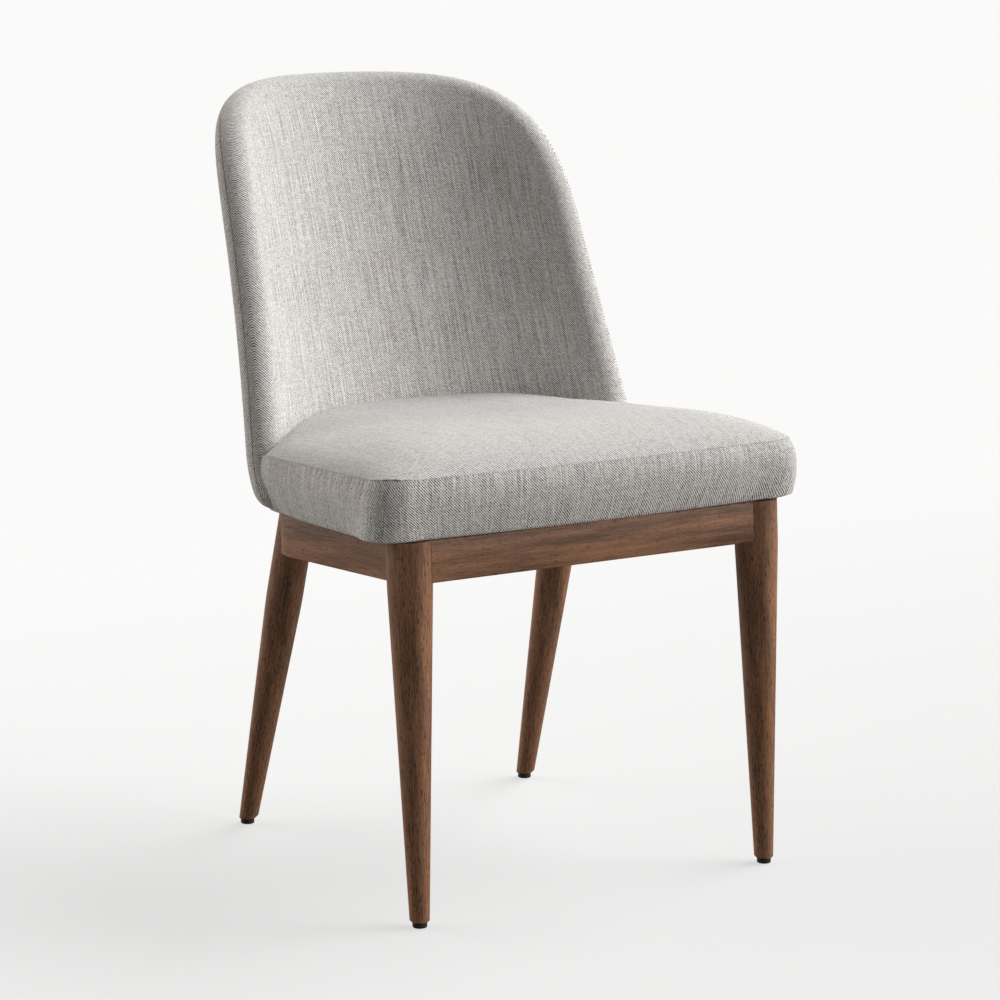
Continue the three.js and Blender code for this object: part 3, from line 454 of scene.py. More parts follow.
def back_point(girth, h, offset):
    """A point at an offset from the middle surface, positive towards the sitter."""
    probe = 0.0005
    across = back_middle(girth + probe, h) - back_middle(girth - probe, h)
    rising = back_middle(girth, h + probe) - back_middle(girth, h - probe)
    return back_middle(girth, h) + unit(np.cross(across, rising)) * np.asarray(offset)[..., None]


def back_outline():
    """The back's edge in girth and rise, and the unit direction inward at each of its points."""
    side, corner, base = BACK_HALF_GIRTH, LOWER_CORNER, BACK_BASE
    arch_start = RAIL_HEIGHT + ARCH_RISE
    taper = (side - ARCH_HALF_GIRTH) / (arch_start - base - corner)
    run = np.concatenate([
        [(0.0, base)],
        arc_points((side - corner, base + corner), corner, -90, 0, 40),
        bezier_points(
            (ARCH_HALF_GIRTH, arch_start),
            (ARCH_HALF_GIRTH - taper * ARCH_SIDE_PULL, arch_start + ARCH_SIDE_PULL),
            (ARCH_TOP_PULL, BACK_TOP), (0.0, BACK_TOP), 400,
        ),
    ])
    loop = closed_loop(even_run(run, BACK_HALF_COUNT))
    for _ in range(4):
        loop = (np.roll(loop, 1, axis=0) + 2 * loop + np.roll(loop, -1, axis=0)) / 4
    return loop, -sideways(np.roll(loop, -1, axis=0) - np.roll(loop, 1, axis=0))


class BackForm:
    """Rings round the back's edge and over its two faces, with cloth coordinates."""

    def __init__(self):
        self.edge, self.inward = back_outline()
        self.rings, self.cloth = [], []

    def add(self, places, offset, coords=None):
        offsets = np.broadcast_to(offset, len(places))
        self.rings.append(back_point(places[:, 0], places[:, 1], offsets))
        self.cloth.append(places if coords is None else coords)

    def edge_rings(self, *places):
        """Rings at pairs of inset and offset."""
        for inset, offset in places:
            self.add(self.edge + self.inward * inset, offset)

    def roll_ring(self, depth, turn):
        """A ring of the rolled edge: 90 degrees faces the sitter and -90 the rear."""
        radius = HALF_THICKNESS - depth
        inset = depth + radius * (1 - math.cos(turn))
        arc = HALF_THICKNESS * (math.pi / 2 - abs(turn))
        coords = self.edge + self.inward * (HALF_THICKNESS - arc)
        self.add(self.edge + self.inward * inset, radius * math.sin(turn), coords)

    def face_rings(self, shares, offset, crown=0.0, softness=0.0):
        """Rings over a face, crowned by a share of the padding's crown."""
        start = self.edge + self.inward * HALF_THICKNESS
        for share in shares:
            places = drawn_in(start, BACK_HEART, share)
            offsets = np.full(len(places), offset + crown * crown_at(share))
            if softness:
                fade = min(1.0, share / 0.15)
                offsets += fade * unevenness(places, BACK_WAVE, softness)
            self.add(places, offsets)

    def body(self, name, seam_row=None):
        rings = np.array(self.rings)
        piece = skinned(name, pitched(rings), self.cloth)
        if seam_row is None:
            add_seam_map(piece)
        else:
            add_seam_map(piece, seam_run(self.edge), seam_away(rings, seam_row))
        return piece


def crown_at(share):
    """The padding's crown, which rises from the edge and is full at its share of the way in."""
    return BACK_CROWN * (1 - (1 - min(1.0, share / CROWN_SHARE)) ** 2)


def roll_turns(start, end, seam_at_end):
    """Turns of the rolled edge between two angles, set closer near the seam."""
    span = abs(end - start)
    near = np.array(ROLL_STEPS) / HALF_THICKNESS
    away = np.concatenate([near, np.linspace(ROLL_FIRST_EVEN / HALF_THICKNESS, span, 13)])
    way = math.copysign(1, end - start)
    return (end - way * away)[::-1] if seam_at_end else start + way * away


def make_back_cutter():
    """The back's whole outer form, a hair larger, which the seat's pieces are cut by."""
    form = BackForm()
    face = HALF_THICKNESS + GAP
    form.face_rings(FACE_SHARES[:0:-1], face, 1.0, chair_sizes().unevenness)
    for turn in np.linspace(ROLL_START, -math.pi / 2, 19):
        form.roll_ring(-GAP, turn)
    form.face_rings(FACE_SHARES, -face)
    return form.body("back_cutter")


def make_back_inside():
    """The inside cover over its padding, rolled over the edge to the seam."""
    sizes = chair_sizes()
    form = BackForm()
    form.face_rings(FACE_SHARES[:0:-1], HALF_THICKNESS, 1.0, sizes.unevenness)
    for turn in roll_turns(ROLL_START, BACK_SEAM, True):
        form.roll_ring(rolled_in((turn - BACK_SEAM) * HALF_THICKNESS, sizes.seam_depth), turn)
    seam_row = len(form.rings) - 1
    wrapped = (HALF_THICKNESS - SEAM_ALLOWANCE) * math.sin(BACK_SEAM)
    inset, face = SHELL_INSET - GAP, SHELL_FRONT + GAP
    form.edge_rings((inset, wrapped), (inset, face), (HALF_THICKNESS, face))
    form.face_rings(FACE_SHARES[::4], face)
    return form.body("back_inside", seam_row)


def make_back_outside():
    """The outside cover over its wadding, from the seam round the rear."""
    sizes = chair_sizes()
    form = BackForm()
    face = SHELL_REAR - GAP
    start = BACK_SEAM - SEAM_SPLIT / HALF_THICKNESS
    form.face_rings(FACE_SHARES[::-4], face)
    form.edge_rings((HALF_THICKNESS, face), (SHELL_INSET - GAP, face))
    seam_row = len(form.rings)
    for turn in roll_turns(start, -math.pi / 2, False):
        form.roll_ring(rolled_in((start - turn) * HALF_THICKNESS, sizes.seam_depth), turn)
    form.face_rings(FACE_SHARES, -HALF_THICKNESS, -REAR_CROWN_SHARE, sizes.unevenness)
    return form.body("back_outside", seam_row)


# The seat's plan at a level, where 0 is the boxing's lower edge and 1 its seam

def seat_halves(level, bulge=0.0):
    """The seat's half width at its front corners and at its rear."""
    return (FRAME_HALF_WIDTH + SIDE_OVERHANG + SIDE_LEAN * level + bulge,
            SEAT_REAR_HALF_WIDTH + SEAT_REAR_LEAN * level + bulge)


def side_line(share, halves):
    """The half width at a share of the way from the front corner to the rear."""
    front, rear = halves
    return front + (rear - front) * share + 4 * SEAT_SIDE_BOW * share * (1 - share)


def seat_outline(level, inset=0.0):
    """A closed run of places in x and s; its rear part lies inside the back's thickness."""
    bulge = BOXING_BULGE * 4 * level * (1 - level)
    halves = seat_halves(level, bulge)
    front = -FRONT_OVERHANG - FRONT_LEAN * level - bulge
    corner_x = halves[0] - SEAT_CORNER
    corner_s = front + SEAT_BOW + SEAT_CORNER
    n_front, n_corner, n_side, n_rear = SEAT_COUNTS
    x = np.linspace(0, corner_x, n_front, endpoint=False)
    front_run = np.stack([x, front + SEAT_BOW * (x / halves[0]) ** 2 + inset], axis=-1)
    entry_s = front + SEAT_BOW * (corner_x / halves[0]) ** 2
    corner = arc_points((corner_x, corner_s), SEAT_CORNER - inset, -90, 0, n_corner)
    corner[:, 1] -= (corner_s - entry_s - SEAT_CORNER) * np.linspace(1, 0, n_corner) ** 2
    s = np.linspace(corner_s, SEAT_SIDE_DEPTH, n_side + 1)[1:]
    share = (s - corner_s) / (SEAT_SIDE_DEPTH - corner_s)
    side = np.stack([side_line(share, halves) - inset, s], axis=-1)
    h = RAIL_HEIGHT + BOXING_HEIGHT * level
    radius = float(back_radius(h))
    start = math.asin(min(1.0, side[-1, 0] / radius)) * radius - HALF_THICKNESS
    rear = back_middle(start * (1 - np.linspace(0, 1, n_rear)), np.full(n_rear, h))[:, :2]
    rear[-1, 0] = 0.0
    half = np.concatenate([front_run, corner, side, rear])
    away = np.linalg.norm(half - half[n_front + n_corner // 2], axis=1)
    low = (1 - level) * min(1.0, 0.5 + level / 0.10) - level * (1 - level)
    swell = chair_sizes().corner_fullness * low * np.exp(-(away / SWELL_REACH) ** 2)
    return closed_loop(half + sideways(np.gradient(half, axis=0)) * swell[:, None])


def seat_top_height(places):
    """The crowned height of the seat's top at each place."""
    x, s = places[:, 0], places[:, 1]
    halves = seat_halves(1.0)
    middle = -FRONT_OVERHANG - FRONT_LEAN
    corner = middle + SEAT_BOW + SEAT_CORNER
    edge = side_line(np.clip((s - corner) / (SEAT_SIDE_DEPTH - corner), 0, 1), halves)
    reach = CROWN_REACH_FRONT + (CROWN_REACH_REAR - CROWN_REACH_FRONT) * np.clip(
        s / SEAT_SIDE_DEPTH, 0, 1)
    from_side = np.clip((edge - np.abs(x)) / reach, 0, 1)
    front = middle + SEAT_BOW * (x / halves[0]) ** 2
    from_front = np.clip((s - front) / CROWN_REACH_FRONT, 0, 1)
    return SEAM_LEVEL + SEAT_CROWN * (1 - (1 - from_side) ** 4) * (1 - (1 - from_front) ** 4)


def seam_run(outline):
    """Length along a closed outline from its front middle, negative on the left."""
    girth = run_lengths([*outline, outline[0]])
    is_left = np.arange(len(outline)) > len(outline) // 2
    return np.where(is_left, girth[:-1] - girth[-1], girth[:-1])


def seam_away(rings, seam_row):
    """Distance of each ring's points from the seam's ring."""
    return np.linalg.norm(rings - rings[seam_row][None], axis=-1)


def back_distance(cutter, points):
    """How far each point in world space lies from the back's surface."""
    tree = BVHTree.FromObject(cutter, bpy.context.evaluated_depsgraph_get())
    return np.array([tree.find_nearest(Vector(p))[3] for p in points])


def band_side():
    """Height and inset of the boxing's outer face, from above its lower fold up to the seam."""
    far = np.linspace(0.009, SEAM_LEVEL - RAIL_HEIGHT - BOXING_TURN - 0.004, 18)
    falls = [(away, seat_seam_fall(away)) for away in (*SEAM_STEPS, *far)]
    return [(SEAM_LEVEL - away - fall * SEAM_DOWN, fall * SEAM_IN) for away, fall in falls][::-1]


def level_ring(h, inset):
    plan = seat_outline(max(0.0, (h - RAIL_HEIGHT) / BOXING_HEIGHT), inset)
    return raised(plan, h)


def make_seat_pad(cutter):
    """The crowned top panel over the seat's foam, which fills the boxing."""
    sizes = chair_sizes()
    skin = COVER + 2 * GAP
    low = DECK_TOP + GAP
    side = [(h, inset + skin) for h, inset in band_side() if low + 0.002 < h < SEAM_LEVEL - 0.006]
    rings = [level_ring(h, inset) for h, inset in ((low, skin), *side[::2])]
    seam_row = len(rings)
    outline = seat_outline(1.0)
    toward = np.array(SEAT_HEART) - outline
    heart_run = np.linalg.norm(toward, axis=1, keepdims=True)
    toward = toward / heart_run
    for away in (*SEAM_STEPS, *TOP_STEPS):
        fall = seat_seam_fall(away)
        places = outline + toward * away
        height = seat_top_height(places) - fall * SEAM_DOWN + GAP / 2
        rings.append(raised(places + toward * fall * SEAM_IN, height))
    near = TOP_STEPS[-1] / float(heart_run.mean())
    for share in near + (1 - near) * np.linspace(0, 0.985, 38)[1:] ** 1.25:
        places = drawn_in(outline, SEAT_HEART, share)
        rings.append(raised(places, seat_top_height(places)))
    points = np.array(rings)
    flat = points.reshape(-1, 3)
    lift = unevenness(flat[:, :2], SEAT_WAVE, sizes.unevenness * 1.6)
    flat[:, 2] += lift * np.clip((flat[:, 2] - SEAM_LEVEL - 0.004) / 0.012, 0, 1)
    near_back = back_distance(cutter, pitched(flat))
    sink = sizes.crease_depth * np.clip(1 - near_back / sizes.crease_width, 0, 1) ** 2
    is_top = np.repeat(np.arange(len(points)) >= seam_row, points.shape[1])
    flat[:, 2] -= np.where(is_top, sink, 0.0)
    piece = skinned("seat_pad", pitched(points), points[..., :2])
    add_seam_map(piece, seam_run(outline), seam_away(points, seam_row))
    return trimmed(piece, CLOTH_ANGLE, cutter)


def make_seat_band(cutter):
    """The boxing: from its seam down the seat's sides, round the lower edge and under the deck."""
    low, turn = RAIL_HEIGHT + GAP, BOXING_TURN
    profile = [(low, BOXING_FOLD), (low, 0.015), (low, 0.008)]
    for angle in np.radians(np.linspace(0, 90, 7)):
        profile.append((low + turn - turn * math.cos(angle), turn - turn * math.sin(angle)))
    side = band_side()
    profile += side
    seam_row = len(profile) - 1
    inner = [(h, inset + COVER) for h, inset in side if low + 0.008 < h < SEAM_LEVEL - 0.0045]
    profile += inner[::-1][::2]
    profile += [(low + 0.004, COVER + 0.002), (low + COVER, 0.008), (low + COVER, BOXING_FOLD)]
    rings = np.array([level_ring(h, inset) for h, inset in profile])
    girth, along = seam_run(seat_outline(0.5)), run_lengths(profile)
    cloth = np.stack(np.broadcast_arrays(girth, along[:, None]), axis=-1)
    piece = skinned("seat_band", pitched(rings), cloth, is_hoop=True)
    add_seam_map(piece, girth, np.abs(along - along[seam_row])[:, None])
    return trimmed(piece, CLOTH_ANGLE, cutter)


def make_dust_cover(cutter):
    """The stretched cloth that closes the underside of the deck, inside the boxing's fold."""
    high = DECK_BOTTOM - GAP
    plan = seat_outline((DECK_BOTTOM - RAIL_HEIGHT) / BOXING_HEIGHT, BOXING_FOLD + 0.001)
    shares = np.linspace(0.97, 0, 9)
    rings = [raised(drawn_in(plan, SEAT_HEART, share), high) for share in shares]
    for share in np.linspace(0, 0.97, 9):
        places = drawn_in(plan, SEAT_HEART, share)
        sag = np.abs(unevenness(places, DUST_WAVE, DUST_COVER_THICKNESS)) * min(1.0, share / 0.1)
        rings.append(raised(places, high - DUST_COVER_THICKNESS - sag))
    rings = np.array(rings)
    piece = skinned("dust_cover", pitched(rings), rings[..., :2])
    add_seam_map(piece)
    holes = []
    for name in frame["nodes"]:
        if name.endswith("deck_screw") or name.startswith("cleat_screw"):
            low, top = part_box(name)
            radius = (top.x - low.x) / 2 + GAP
            hole = turned("screw_hole", [(radius, -0.03), (radius, 0.03)], 24)
            middle = (low + top) / 2
            hole.matrix_world = Matrix.Translation(middle) @ Matrix.Rotation(-PITCH, 4, "X")
            holes.append(hole)
    trimmed(piece, CLOTH_ANGLE, cutter, *holes)
    drop(*holes)
    return piece


# Wooden frame

def rounded_section(half_across, half_up, radius, steps):
    """A closed rectangle with rounded corners, across and up from its middle."""
    run = []
    for x, y, start in ((1, 1, 0), (-1, 1, 90), (-1, -1, 180), (1, -1, 270)):
        centre = (x * (half_across - radius), y * (half_up - radius))
        run.append(arc_points(centre, radius, start, start + 90, steps))
    return np.concatenate(run)


def swept(name, path, section):
    """A bar along a level path in x and s, with the section's middle at the rails' middle."""
    path = np.asarray(path, float)
    round_it = run_lengths(section)
    rings, cloth = [], []
    for place, side, far in zip(path, sideways(np.gradient(path, axis=0)), run_lengths(path)):
        rings.append(raised(place + side * section[:, :1], RAIL_HEIGHT / 2 + section[:, 1]))
        cloth.append(np.stack([np.full(len(section), far), round_it], axis=-1))
    return skinned(name, pitched(rings), cloth)


def side_rail_path(side):
    """Middle line of a side rail: straight along the side, then bent round the rear corner."""
    middle = FRAME_HALF_WIDTH - RAIL_THICKNESS / 2
    bend = FRAME_CORNER - RAIL_THICKNESS / 2
    centre = (FRAME_HALF_WIDTH - FRAME_CORNER, FRAME_DEPTH - FRAME_CORNER)
    along = np.linspace(FRONT_LEG_S, centre[1], 24, endpoint=False)
    run = np.concatenate([
        np.stack([np.full(24, middle), along], -1),
        arc_points(centre, bend, 0, 90, 28),
        [(REAR_RAIL_HALF_LENGTH + GAP / 2, centre[1] + bend)],
    ])
    return run * np.array([side, 1.0])


def leg_places():
    """Each leg's row and side, with the start of its name."""
    for is_front, row in ((True, "front"), (False, "rear")):
        for side, hand in ((-1, "left"), (1, "right")):
            yield is_front, side, f"{row}_{hand}"


def leg_axis(is_front, side):
    """The leg's top at the rails' lower edge and its foot on the floor, in world space."""
    splay = FRONT_LEG_SPLAY if is_front else REAR_LEG_SPLAY
    rake = 0.0 if is_front else REAR_LEG_RAKE
    x = side * (FRONT_LEG_X if is_front else REAR_LEG_X)
    s = FRONT_LEG_S if is_front else REAR_LEG_S
    matrix = rail_frame_matrix()
    top = matrix @ Vector((x, s, 0))
    down = Vector((side * math.tan(splay), math.tan(rake), -1))
    run = (matrix.to_3x3() @ down).normalized()
    return top, top + run * (-top.z / run.z)


def leg_body(name, is_front, side, growth=0.0):
    """A tapered round leg whose own Z runs up its axis from the floor."""
    top, foot = leg_axis(is_front, side)
    radius = FRONT_LEG_RADIUS if is_front else REAR_LEG_RADIUS
    shoulder = FRONT_LEG_SHOULDER if is_front else REAR_LEG_SHOULDER
    length = (top - foot).length
    slope = (radius - FOOT_RADIUS) / (length - shoulder)
    heights = [-0.012, *np.linspace(0.004, length - shoulder - 0.012, 40)]
    profile = [(FOOT_RADIUS + slope * z + growth, z) for z in heights]
    for z in np.linspace(-SHOULDER_EASE, SHOULDER_EASE, 9):
        blend = slope * (z - SHOULDER_EASE) ** 2 / (4 * SHOULDER_EASE)
        profile.append((radius - blend + growth, length - shoulder + z))
    profile += [(radius + growth, length + RAIL_HEIGHT * k) for k in (0.5, 1.0, 1.4)]
    body = turned(name, profile)
    axis = (top - foot).normalized()
    turn = Vector((0, 0, 1)).rotation_difference(axis).to_matrix().to_4x4()
    body.matrix_world = Matrix.Translation(foot) @ turn
    return body


def foot_form(foot):
    """All that a foot may fill: level at the glide's top and chamfered, open above."""
    base = GLIDE_HEIGHT + GAP
    flat, wide = FOOT_RADIUS - FOOT_CHAMFER, 0.3
    profile = [(flat, base), (wide, base + wide - flat), (wide, 1.2)]
    form = turned("foot_form", profile, 48)
    form.location = (foot.x, foot.y, 0)
    return form


# Materials

class Nodes:
    """Builds a node tree in short steps."""

    def __init__(self, tree):
        tree.nodes.clear()
        self.tree = tree

    def add(self, kind, inputs=None, **settings):
        node = self.tree.nodes.new(kind)
        for key, value in settings.items():
            setattr(node, key, value)
        for key, value in (inputs or {}).items():
            self.set(node.inputs[key], value)
        return node

    def set(self, socket, value):
        if isinstance(value, bpy.types.NodeSocket):
            self.tree.links.new(value, socket)
        elif isinstance(value, bpy.types.Node):
            self.tree.links.new(value.outputs[0], socket)
        else:
            socket.default_value = value

    def group(self, name, build, inputs):
        """A node of a named group, which is built on its first use."""
        groups = bpy.data.node_groups
        tree = groups[name] if name in groups else build(name)
        return self.add("ShaderNodeGroup", inputs, node_tree=tree).outputs

    def math(self, operation, a, b=0.0, c=0.0, clamp=False):
        return self.add("ShaderNodeMath", {0: a, 1: b, 2: c},
                        operation=operation, use_clamp=clamp).outputs[0]

    def plus(self, a, b):
        return self.math("ADD", a, b)

    def minus(self, a, b, clamp=False):
        return self.math("SUBTRACT", a, b, clamp=clamp)

    def times(self, a, b, clamp=False):
        return self.math("MULTIPLY", a, b, clamp=clamp)

    def over(self, a, b):
        return self.math("DIVIDE", a, b)

    def times_plus(self, a, b, c, clamp=False):
        return self.math("MULTIPLY_ADD", a, b, c, clamp)

    def mix(self, share, a, b, blend="MIX"):
        return self.add("ShaderNodeMix", {0: share, 6: a, 7: b},
                        data_type="RGBA", blend_type=blend).outputs[2]

    def choose(self, share, a, b):
        return self.add("ShaderNodeMix", {0: share, 2: a, 3: b}).outputs[0]

    def shade(self, colour, value):
        return self.mix(1.0, colour, self.combine(value, value, value), "MULTIPLY")

    def spread(self, value, low, high, to_low=0.0, to_high=1.0):
        return self.add("ShaderNodeMapRange",
                        {0: value, 1: low, 2: high, 3: to_low, 4: to_high}).outputs[0]

    def noise(self, vector, scale, detail=2.0, roughness=0.5):
        return self.add("ShaderNodeTexNoise", {
            "Vector": vector, "Scale": scale, "Detail": detail, "Roughness": roughness}).outputs[0]

    def combine(self, x, y, z=0.0):
        return self.add("ShaderNodeCombineXYZ", {0: x, 1: y, 2: z}).outputs[0]

    def separate(self, vector):
        return self.add("ShaderNodeSeparateXYZ", {0: vector}).outputs

    def object_place(self):
        return self.add("ShaderNodeTexCoord").outputs["Object"]

    def surface(self, **inputs):
        """A principled surface on the material's output, from its inputs' names."""
        named = {key.replace("_", " "): value for key, value in inputs.items()}
        shader = self.add("ShaderNodeBsdfPrincipled", named)
        self.add("ShaderNodeOutputMaterial", {0: shader})


SOCKET_KINDS = {
    type(None): "NodeSocketVector", float: "NodeSocketFloat", tuple: "NodeSocketColor",
}


def new_group(name, inputs, outputs):
    """A shader node group with named sockets: places, numbers and colours by their defaults."""
    group = bpy.data.node_groups.new(name, "ShaderNodeTree")
    n = Nodes(group)
    for label, default in inputs.items():
        socket = group.interface.new_socket(
            label, in_out="INPUT", socket_type=SOCKET_KINDS[type(default)])
        if default is not None:
            socket.default_value = default
    for label in outputs:
        kind = "NodeSocketColor" if label == "Color" else "NodeSocketFloat"
        group.interface.new_socket(label, in_out="OUTPUT", socket_type=kind)
    return group, n, n.add("NodeGroupInput").outputs, n.add("NodeGroupOutput").inputs


def new_material(name):
    made = bpy.data.materials.new(name)
    made.use_nodes = True
    return made, Nodes(made.node_tree)


def weave_group(name):
    """Heathered twill: crossing threads that each change tone along their length, with painted
    shade where they lie low.
    """
    group, n, given, out = new_group(name, {
        "Cloth": None, "Thread pitch": 0.0008,
        "Light": (0.6, 0.58, 0.54, 1), "Dark": (0.2, 0.18, 0.16, 1),
        "Fleck share": 0.5, "Slub": 0.3, "Rib": 0.3, "Contrast": 1.0,
    }, ("Color", "Height", "Fibre"))
    repeat, float_length, first_thread, middle_tone = 4.0, 2.0, 3998.6, 0.6
    pitch = given["Thread pitch"]
    x, y = n.separate(given["Cloth"])[:2]
    plane = n.combine(x, y)
    drift, wobble = n.noise(plane, 24.0, 1.0), n.noise(plane, 300.0, 1.0)
    sway = n.times_plus(wobble, 0.9, n.times_plus(drift, 1.8, first_thread))
    warp, weft = n.plus(n.over(x, pitch), sway), n.plus(n.over(y, pitch), sway)
    column, row = n.math("FLOOR", warp), n.math("FLOOR", weft)
    warp_float = n.math("MODULO", n.plus(column, weft), repeat)
    weft_float = n.minus(n.math("MODULO", n.plus(warp, row), repeat), float_length)
    is_warp = n.math("LESS_THAN", warp_float, float_length)

    def thread_height(across, along):
        off = n.minus(n.math("FRACT", across), 0.5)
        rounded = n.times_plus(n.times(off, off), -3.2, 1.0)
        share = n.times(along, 1 / float_length, clamp=True)
        arch = n.times(share, n.minus(1.0, share))
        return n.times(rounded, n.times_plus(arch, 2.2, 0.45))

    def streaks(along_x, along_y, shift):
        place = n.combine(n.times(x, along_x), n.times(y, along_y), shift)
        return n.minus(n.noise(place, 1.0, 2.0), 0.5)

    height = n.choose(is_warp, thread_height(weft, weft_float), thread_height(warp, warp_float))
    warp_tone = n.noise(n.combine(n.times(column, 7.31), n.times(weft, 0.16)), 1.0, 1.0)
    weft_tone = n.noise(n.combine(n.times(warp, 0.16), n.times(row, 5.77), 9.0), 1.0, 1.0)
    tone = n.choose(is_warp, weft_tone, warp_tone)
    low, high = n.minus(given["Fleck share"], 0.14), n.plus(given["Fleck share"], 0.14)
    fleck = n.times_plus(is_warp, 0.2, n.spread(tone, low, high, 0.28, 1.08))
    wide, fine = streaks(210.0, 7.0, 0.0), streaks(560.0, 17.0, 3.0)
    across = streaks(22.0, 380.0, 5.0)
    slub = n.times_plus(fine, 1.5, n.times_plus(across, 0.4, n.times(wide, 0.7)))
    twill, slant = n.plus(warp, weft), n.minus(warp, weft)
    rib = n.math("SINE", n.times(twill, 2 * math.pi / repeat))
    line = n.times(n.math("FLOOR", n.times(twill, 1 / repeat)), 7.31)
    dash = n.minus(n.noise(n.combine(line, n.times(slant, 0.11)), 1.0, 1.0), 0.5)
    fleck = n.times_plus(slub, n.times(given["Slub"], 1.5), fleck)
    fleck = n.times_plus(dash, 1.3, n.times_plus(rib, 0.95, fleck))
    fleck = n.times_plus(n.minus(fleck, middle_tone), given["Contrast"], middle_tone, clamp=True)
    colour = n.mix(fleck, given["Dark"], given["Light"])
    relief = n.times_plus(height, 0.3, n.times(rib, given["Rib"]))
    raised_by = n.times_plus(wide, 1.8, n.times_plus(fine, 2.0, across))
    raised_by = n.times_plus(dash, 1.2, raised_by)
    # Colour is darkened where a thread lies low: painted shade in the hollows between threads.
    n.set(out["Color"], n.shade(colour, n.spread(height, 0.1, 0.7, 0.85, 1.0)))
    n.set(out["Height"], n.times_plus(raised_by, given["Slub"], relief))
    n.set(out["Fibre"], fleck)
    return group


def stitch_group(name):
    """A seam's sunk line with its stitches, from metres along the seam and away from it. The line
    and the stitch holes are darkened in colour: painted shade.
    """
    group, n, given, out = new_group(
        name, {"Seam": None, "Stitch length": 0.0034, "Width": 0.0014}, ("Painted shade", "Height"))
    along, away = n.separate(given["Seam"])[:2]
    line = n.minus(1.0, n.over(away, given["Width"]), clamp=True)
    step = n.math("FRACT", n.over(along, given["Stitch length"]))
    hole = n.spread(n.math("ABSOLUTE", n.minus(step, 0.5)), 0.12, 0.3, 1.0, 0.0)
    depth = n.times(line, n.times_plus(hole, 0.6, 0.4))
    # Darker colour along the sunk line and in the stitch holes: painted shade in the seam's
    # groove.
    n.set(out["Painted shade"], n.times_plus(depth, -0.15, 1.0))
    n.set(out["Height"], n.times(depth, -0.4))
    return group


def cloth_material(name, pitch, light, dark, fleck, slub, rib, relief, contrast, calm=0.0):
    """Woven cloth with its seams, read from the piece's cloth and seam coordinates.

    The slubs fade towards the seam within a calm distance, where the cloth is drawn tight.
    """
    made, n = new_material(name)
    seam = n.add("ShaderNodeUVMap", uv_map="seam")
    if calm:
        slub = n.spread(n.separate(seam)[1], calm * 0.4, calm, slub * 0.2, slub)
    weave = n.group("Heathered weave", weave_group, {
        "Cloth": n.add("ShaderNodeUVMap", uv_map="cloth"), "Thread pitch": pitch,
        "Light": light, "Dark": dark, "Fleck share": fleck, "Slub": slub, "Rib": rib,
        "Contrast": contrast,
    })
    stitches = n.group("Seam stitches", stitch_group, {"Seam": seam})
    height = n.plus(weave["Height"], stitches["Height"])
    n.surface(
        Base_Color=n.shade(weave["Color"], stitches["Painted shade"]),
        Roughness=n.spread(weave["Fibre"], 0.0, 1.0, 0.95, 0.82),
        Normal=n.add("ShaderNodeBump", {"Height": height, "Distance": relief, "Strength": 1.0}),
        Sheen_Weight=0.08, Sheen_Roughness=0.5, Specular_IOR_Level=0.1)
    return made


def grain_group(name):
    """Stained straight grain: long bands, fine streaks and short dark pores."""
    group, n, given, out = new_group(name, {
        "Along": 0.0, "Across": 0.0, "Depth": 0.0,
        "Light": (0.2, 0.1, 0.06, 1), "Dark": (0.06, 0.03, 0.02, 1), "Pore share": 0.6,
    }, ("Color", "Height", "Polish"))
    pore_colour = (0.010, 0.006, 0.004, 1)

    def stretched(along, across):
        return n.combine(n.times(given["Along"], along), n.times(given["Across"], across),
                         n.times(given["Depth"], across))

    bands = n.noise(stretched(6.0, 45.0), 1.0, 2.0, 0.5)
    streaks = n.noise(stretched(32.0, 560.0), 1.0, 3.0, 0.65)
    pores = n.noise(stretched(150.0, 900.0), 1.0, 1.0)
    tone = n.times_plus(streaks, 0.60, n.times(bands, 0.70))
    colour = n.mix(n.spread(tone, 0.48, 0.82), given["Dark"], given["Light"])
    pore = n.spread(pores, given["Pore share"], n.plus(given["Pore share"], 0.06))
    n.set(out["Color"], n.mix(n.times(pore, 0.8), colour, pore_colour))
    n.set(out["Height"], n.times_plus(pore, -1.0, n.times(streaks, 0.3)))
    n.set(out["Polish"], n.spread(tone, 0.3, 0.9))
    return group


def wood_material(name, light, dark, by_object, pore=0.60, rough=(0.36, 0.52), coat=0.08, axis=2):
    """Stained wood, with its grain along the piece's cloth coordinates or along an own axis."""
    made, n = new_material(name)
    if by_object:
        parts = n.separate(n.object_place())
        along, across, depth = (parts[i] for i in sorted(range(3), key=lambda i: i != axis))
    else:
        parts = n.separate(n.add("ShaderNodeUVMap", uv_map="cloth"))
        along, across, depth = parts[0], parts[1], 0.0
    grain = n.group("Straight grain", grain_group, {
        "Along": along, "Across": across, "Depth": depth, "Light": light, "Dark": dark,
        "Pore share": pore,
    })
    n.surface(
        Base_Color=grain["Color"],
        Roughness=n.spread(grain["Polish"], 0.0, 1.0, rough[1], rough[0]),
        Normal=n.add("ShaderNodeBump", {"Height": grain["Height"], "Distance": 0.00012}),
        Coat_Weight=coat, Coat_Roughness=0.35, Specular_IOR_Level=0.35)
    return made


def wear_group(name):
    """Fine marks and clouding for metal and plastic."""
    group, n, given, out = new_group(name, {
        "Place": None, "Base": (0.5, 0.5, 0.5, 1), "Stain": (0.3, 0.3, 0.3, 1), "Scale": 400.0,
    }, ("Color", "Height", "Cloud"))
    cloud = n.noise(given["Place"], given["Scale"], 4.0, 0.6)
    n.set(out["Color"], n.mix(n.spread(cloud, 0.35, 0.7), given["Stain"], given["Base"]))
    n.set(out["Height"], n.noise(given["Place"], n.times(given["Scale"], 6.0), 2.0))
    n.set(out["Cloud"], cloud)
    return group


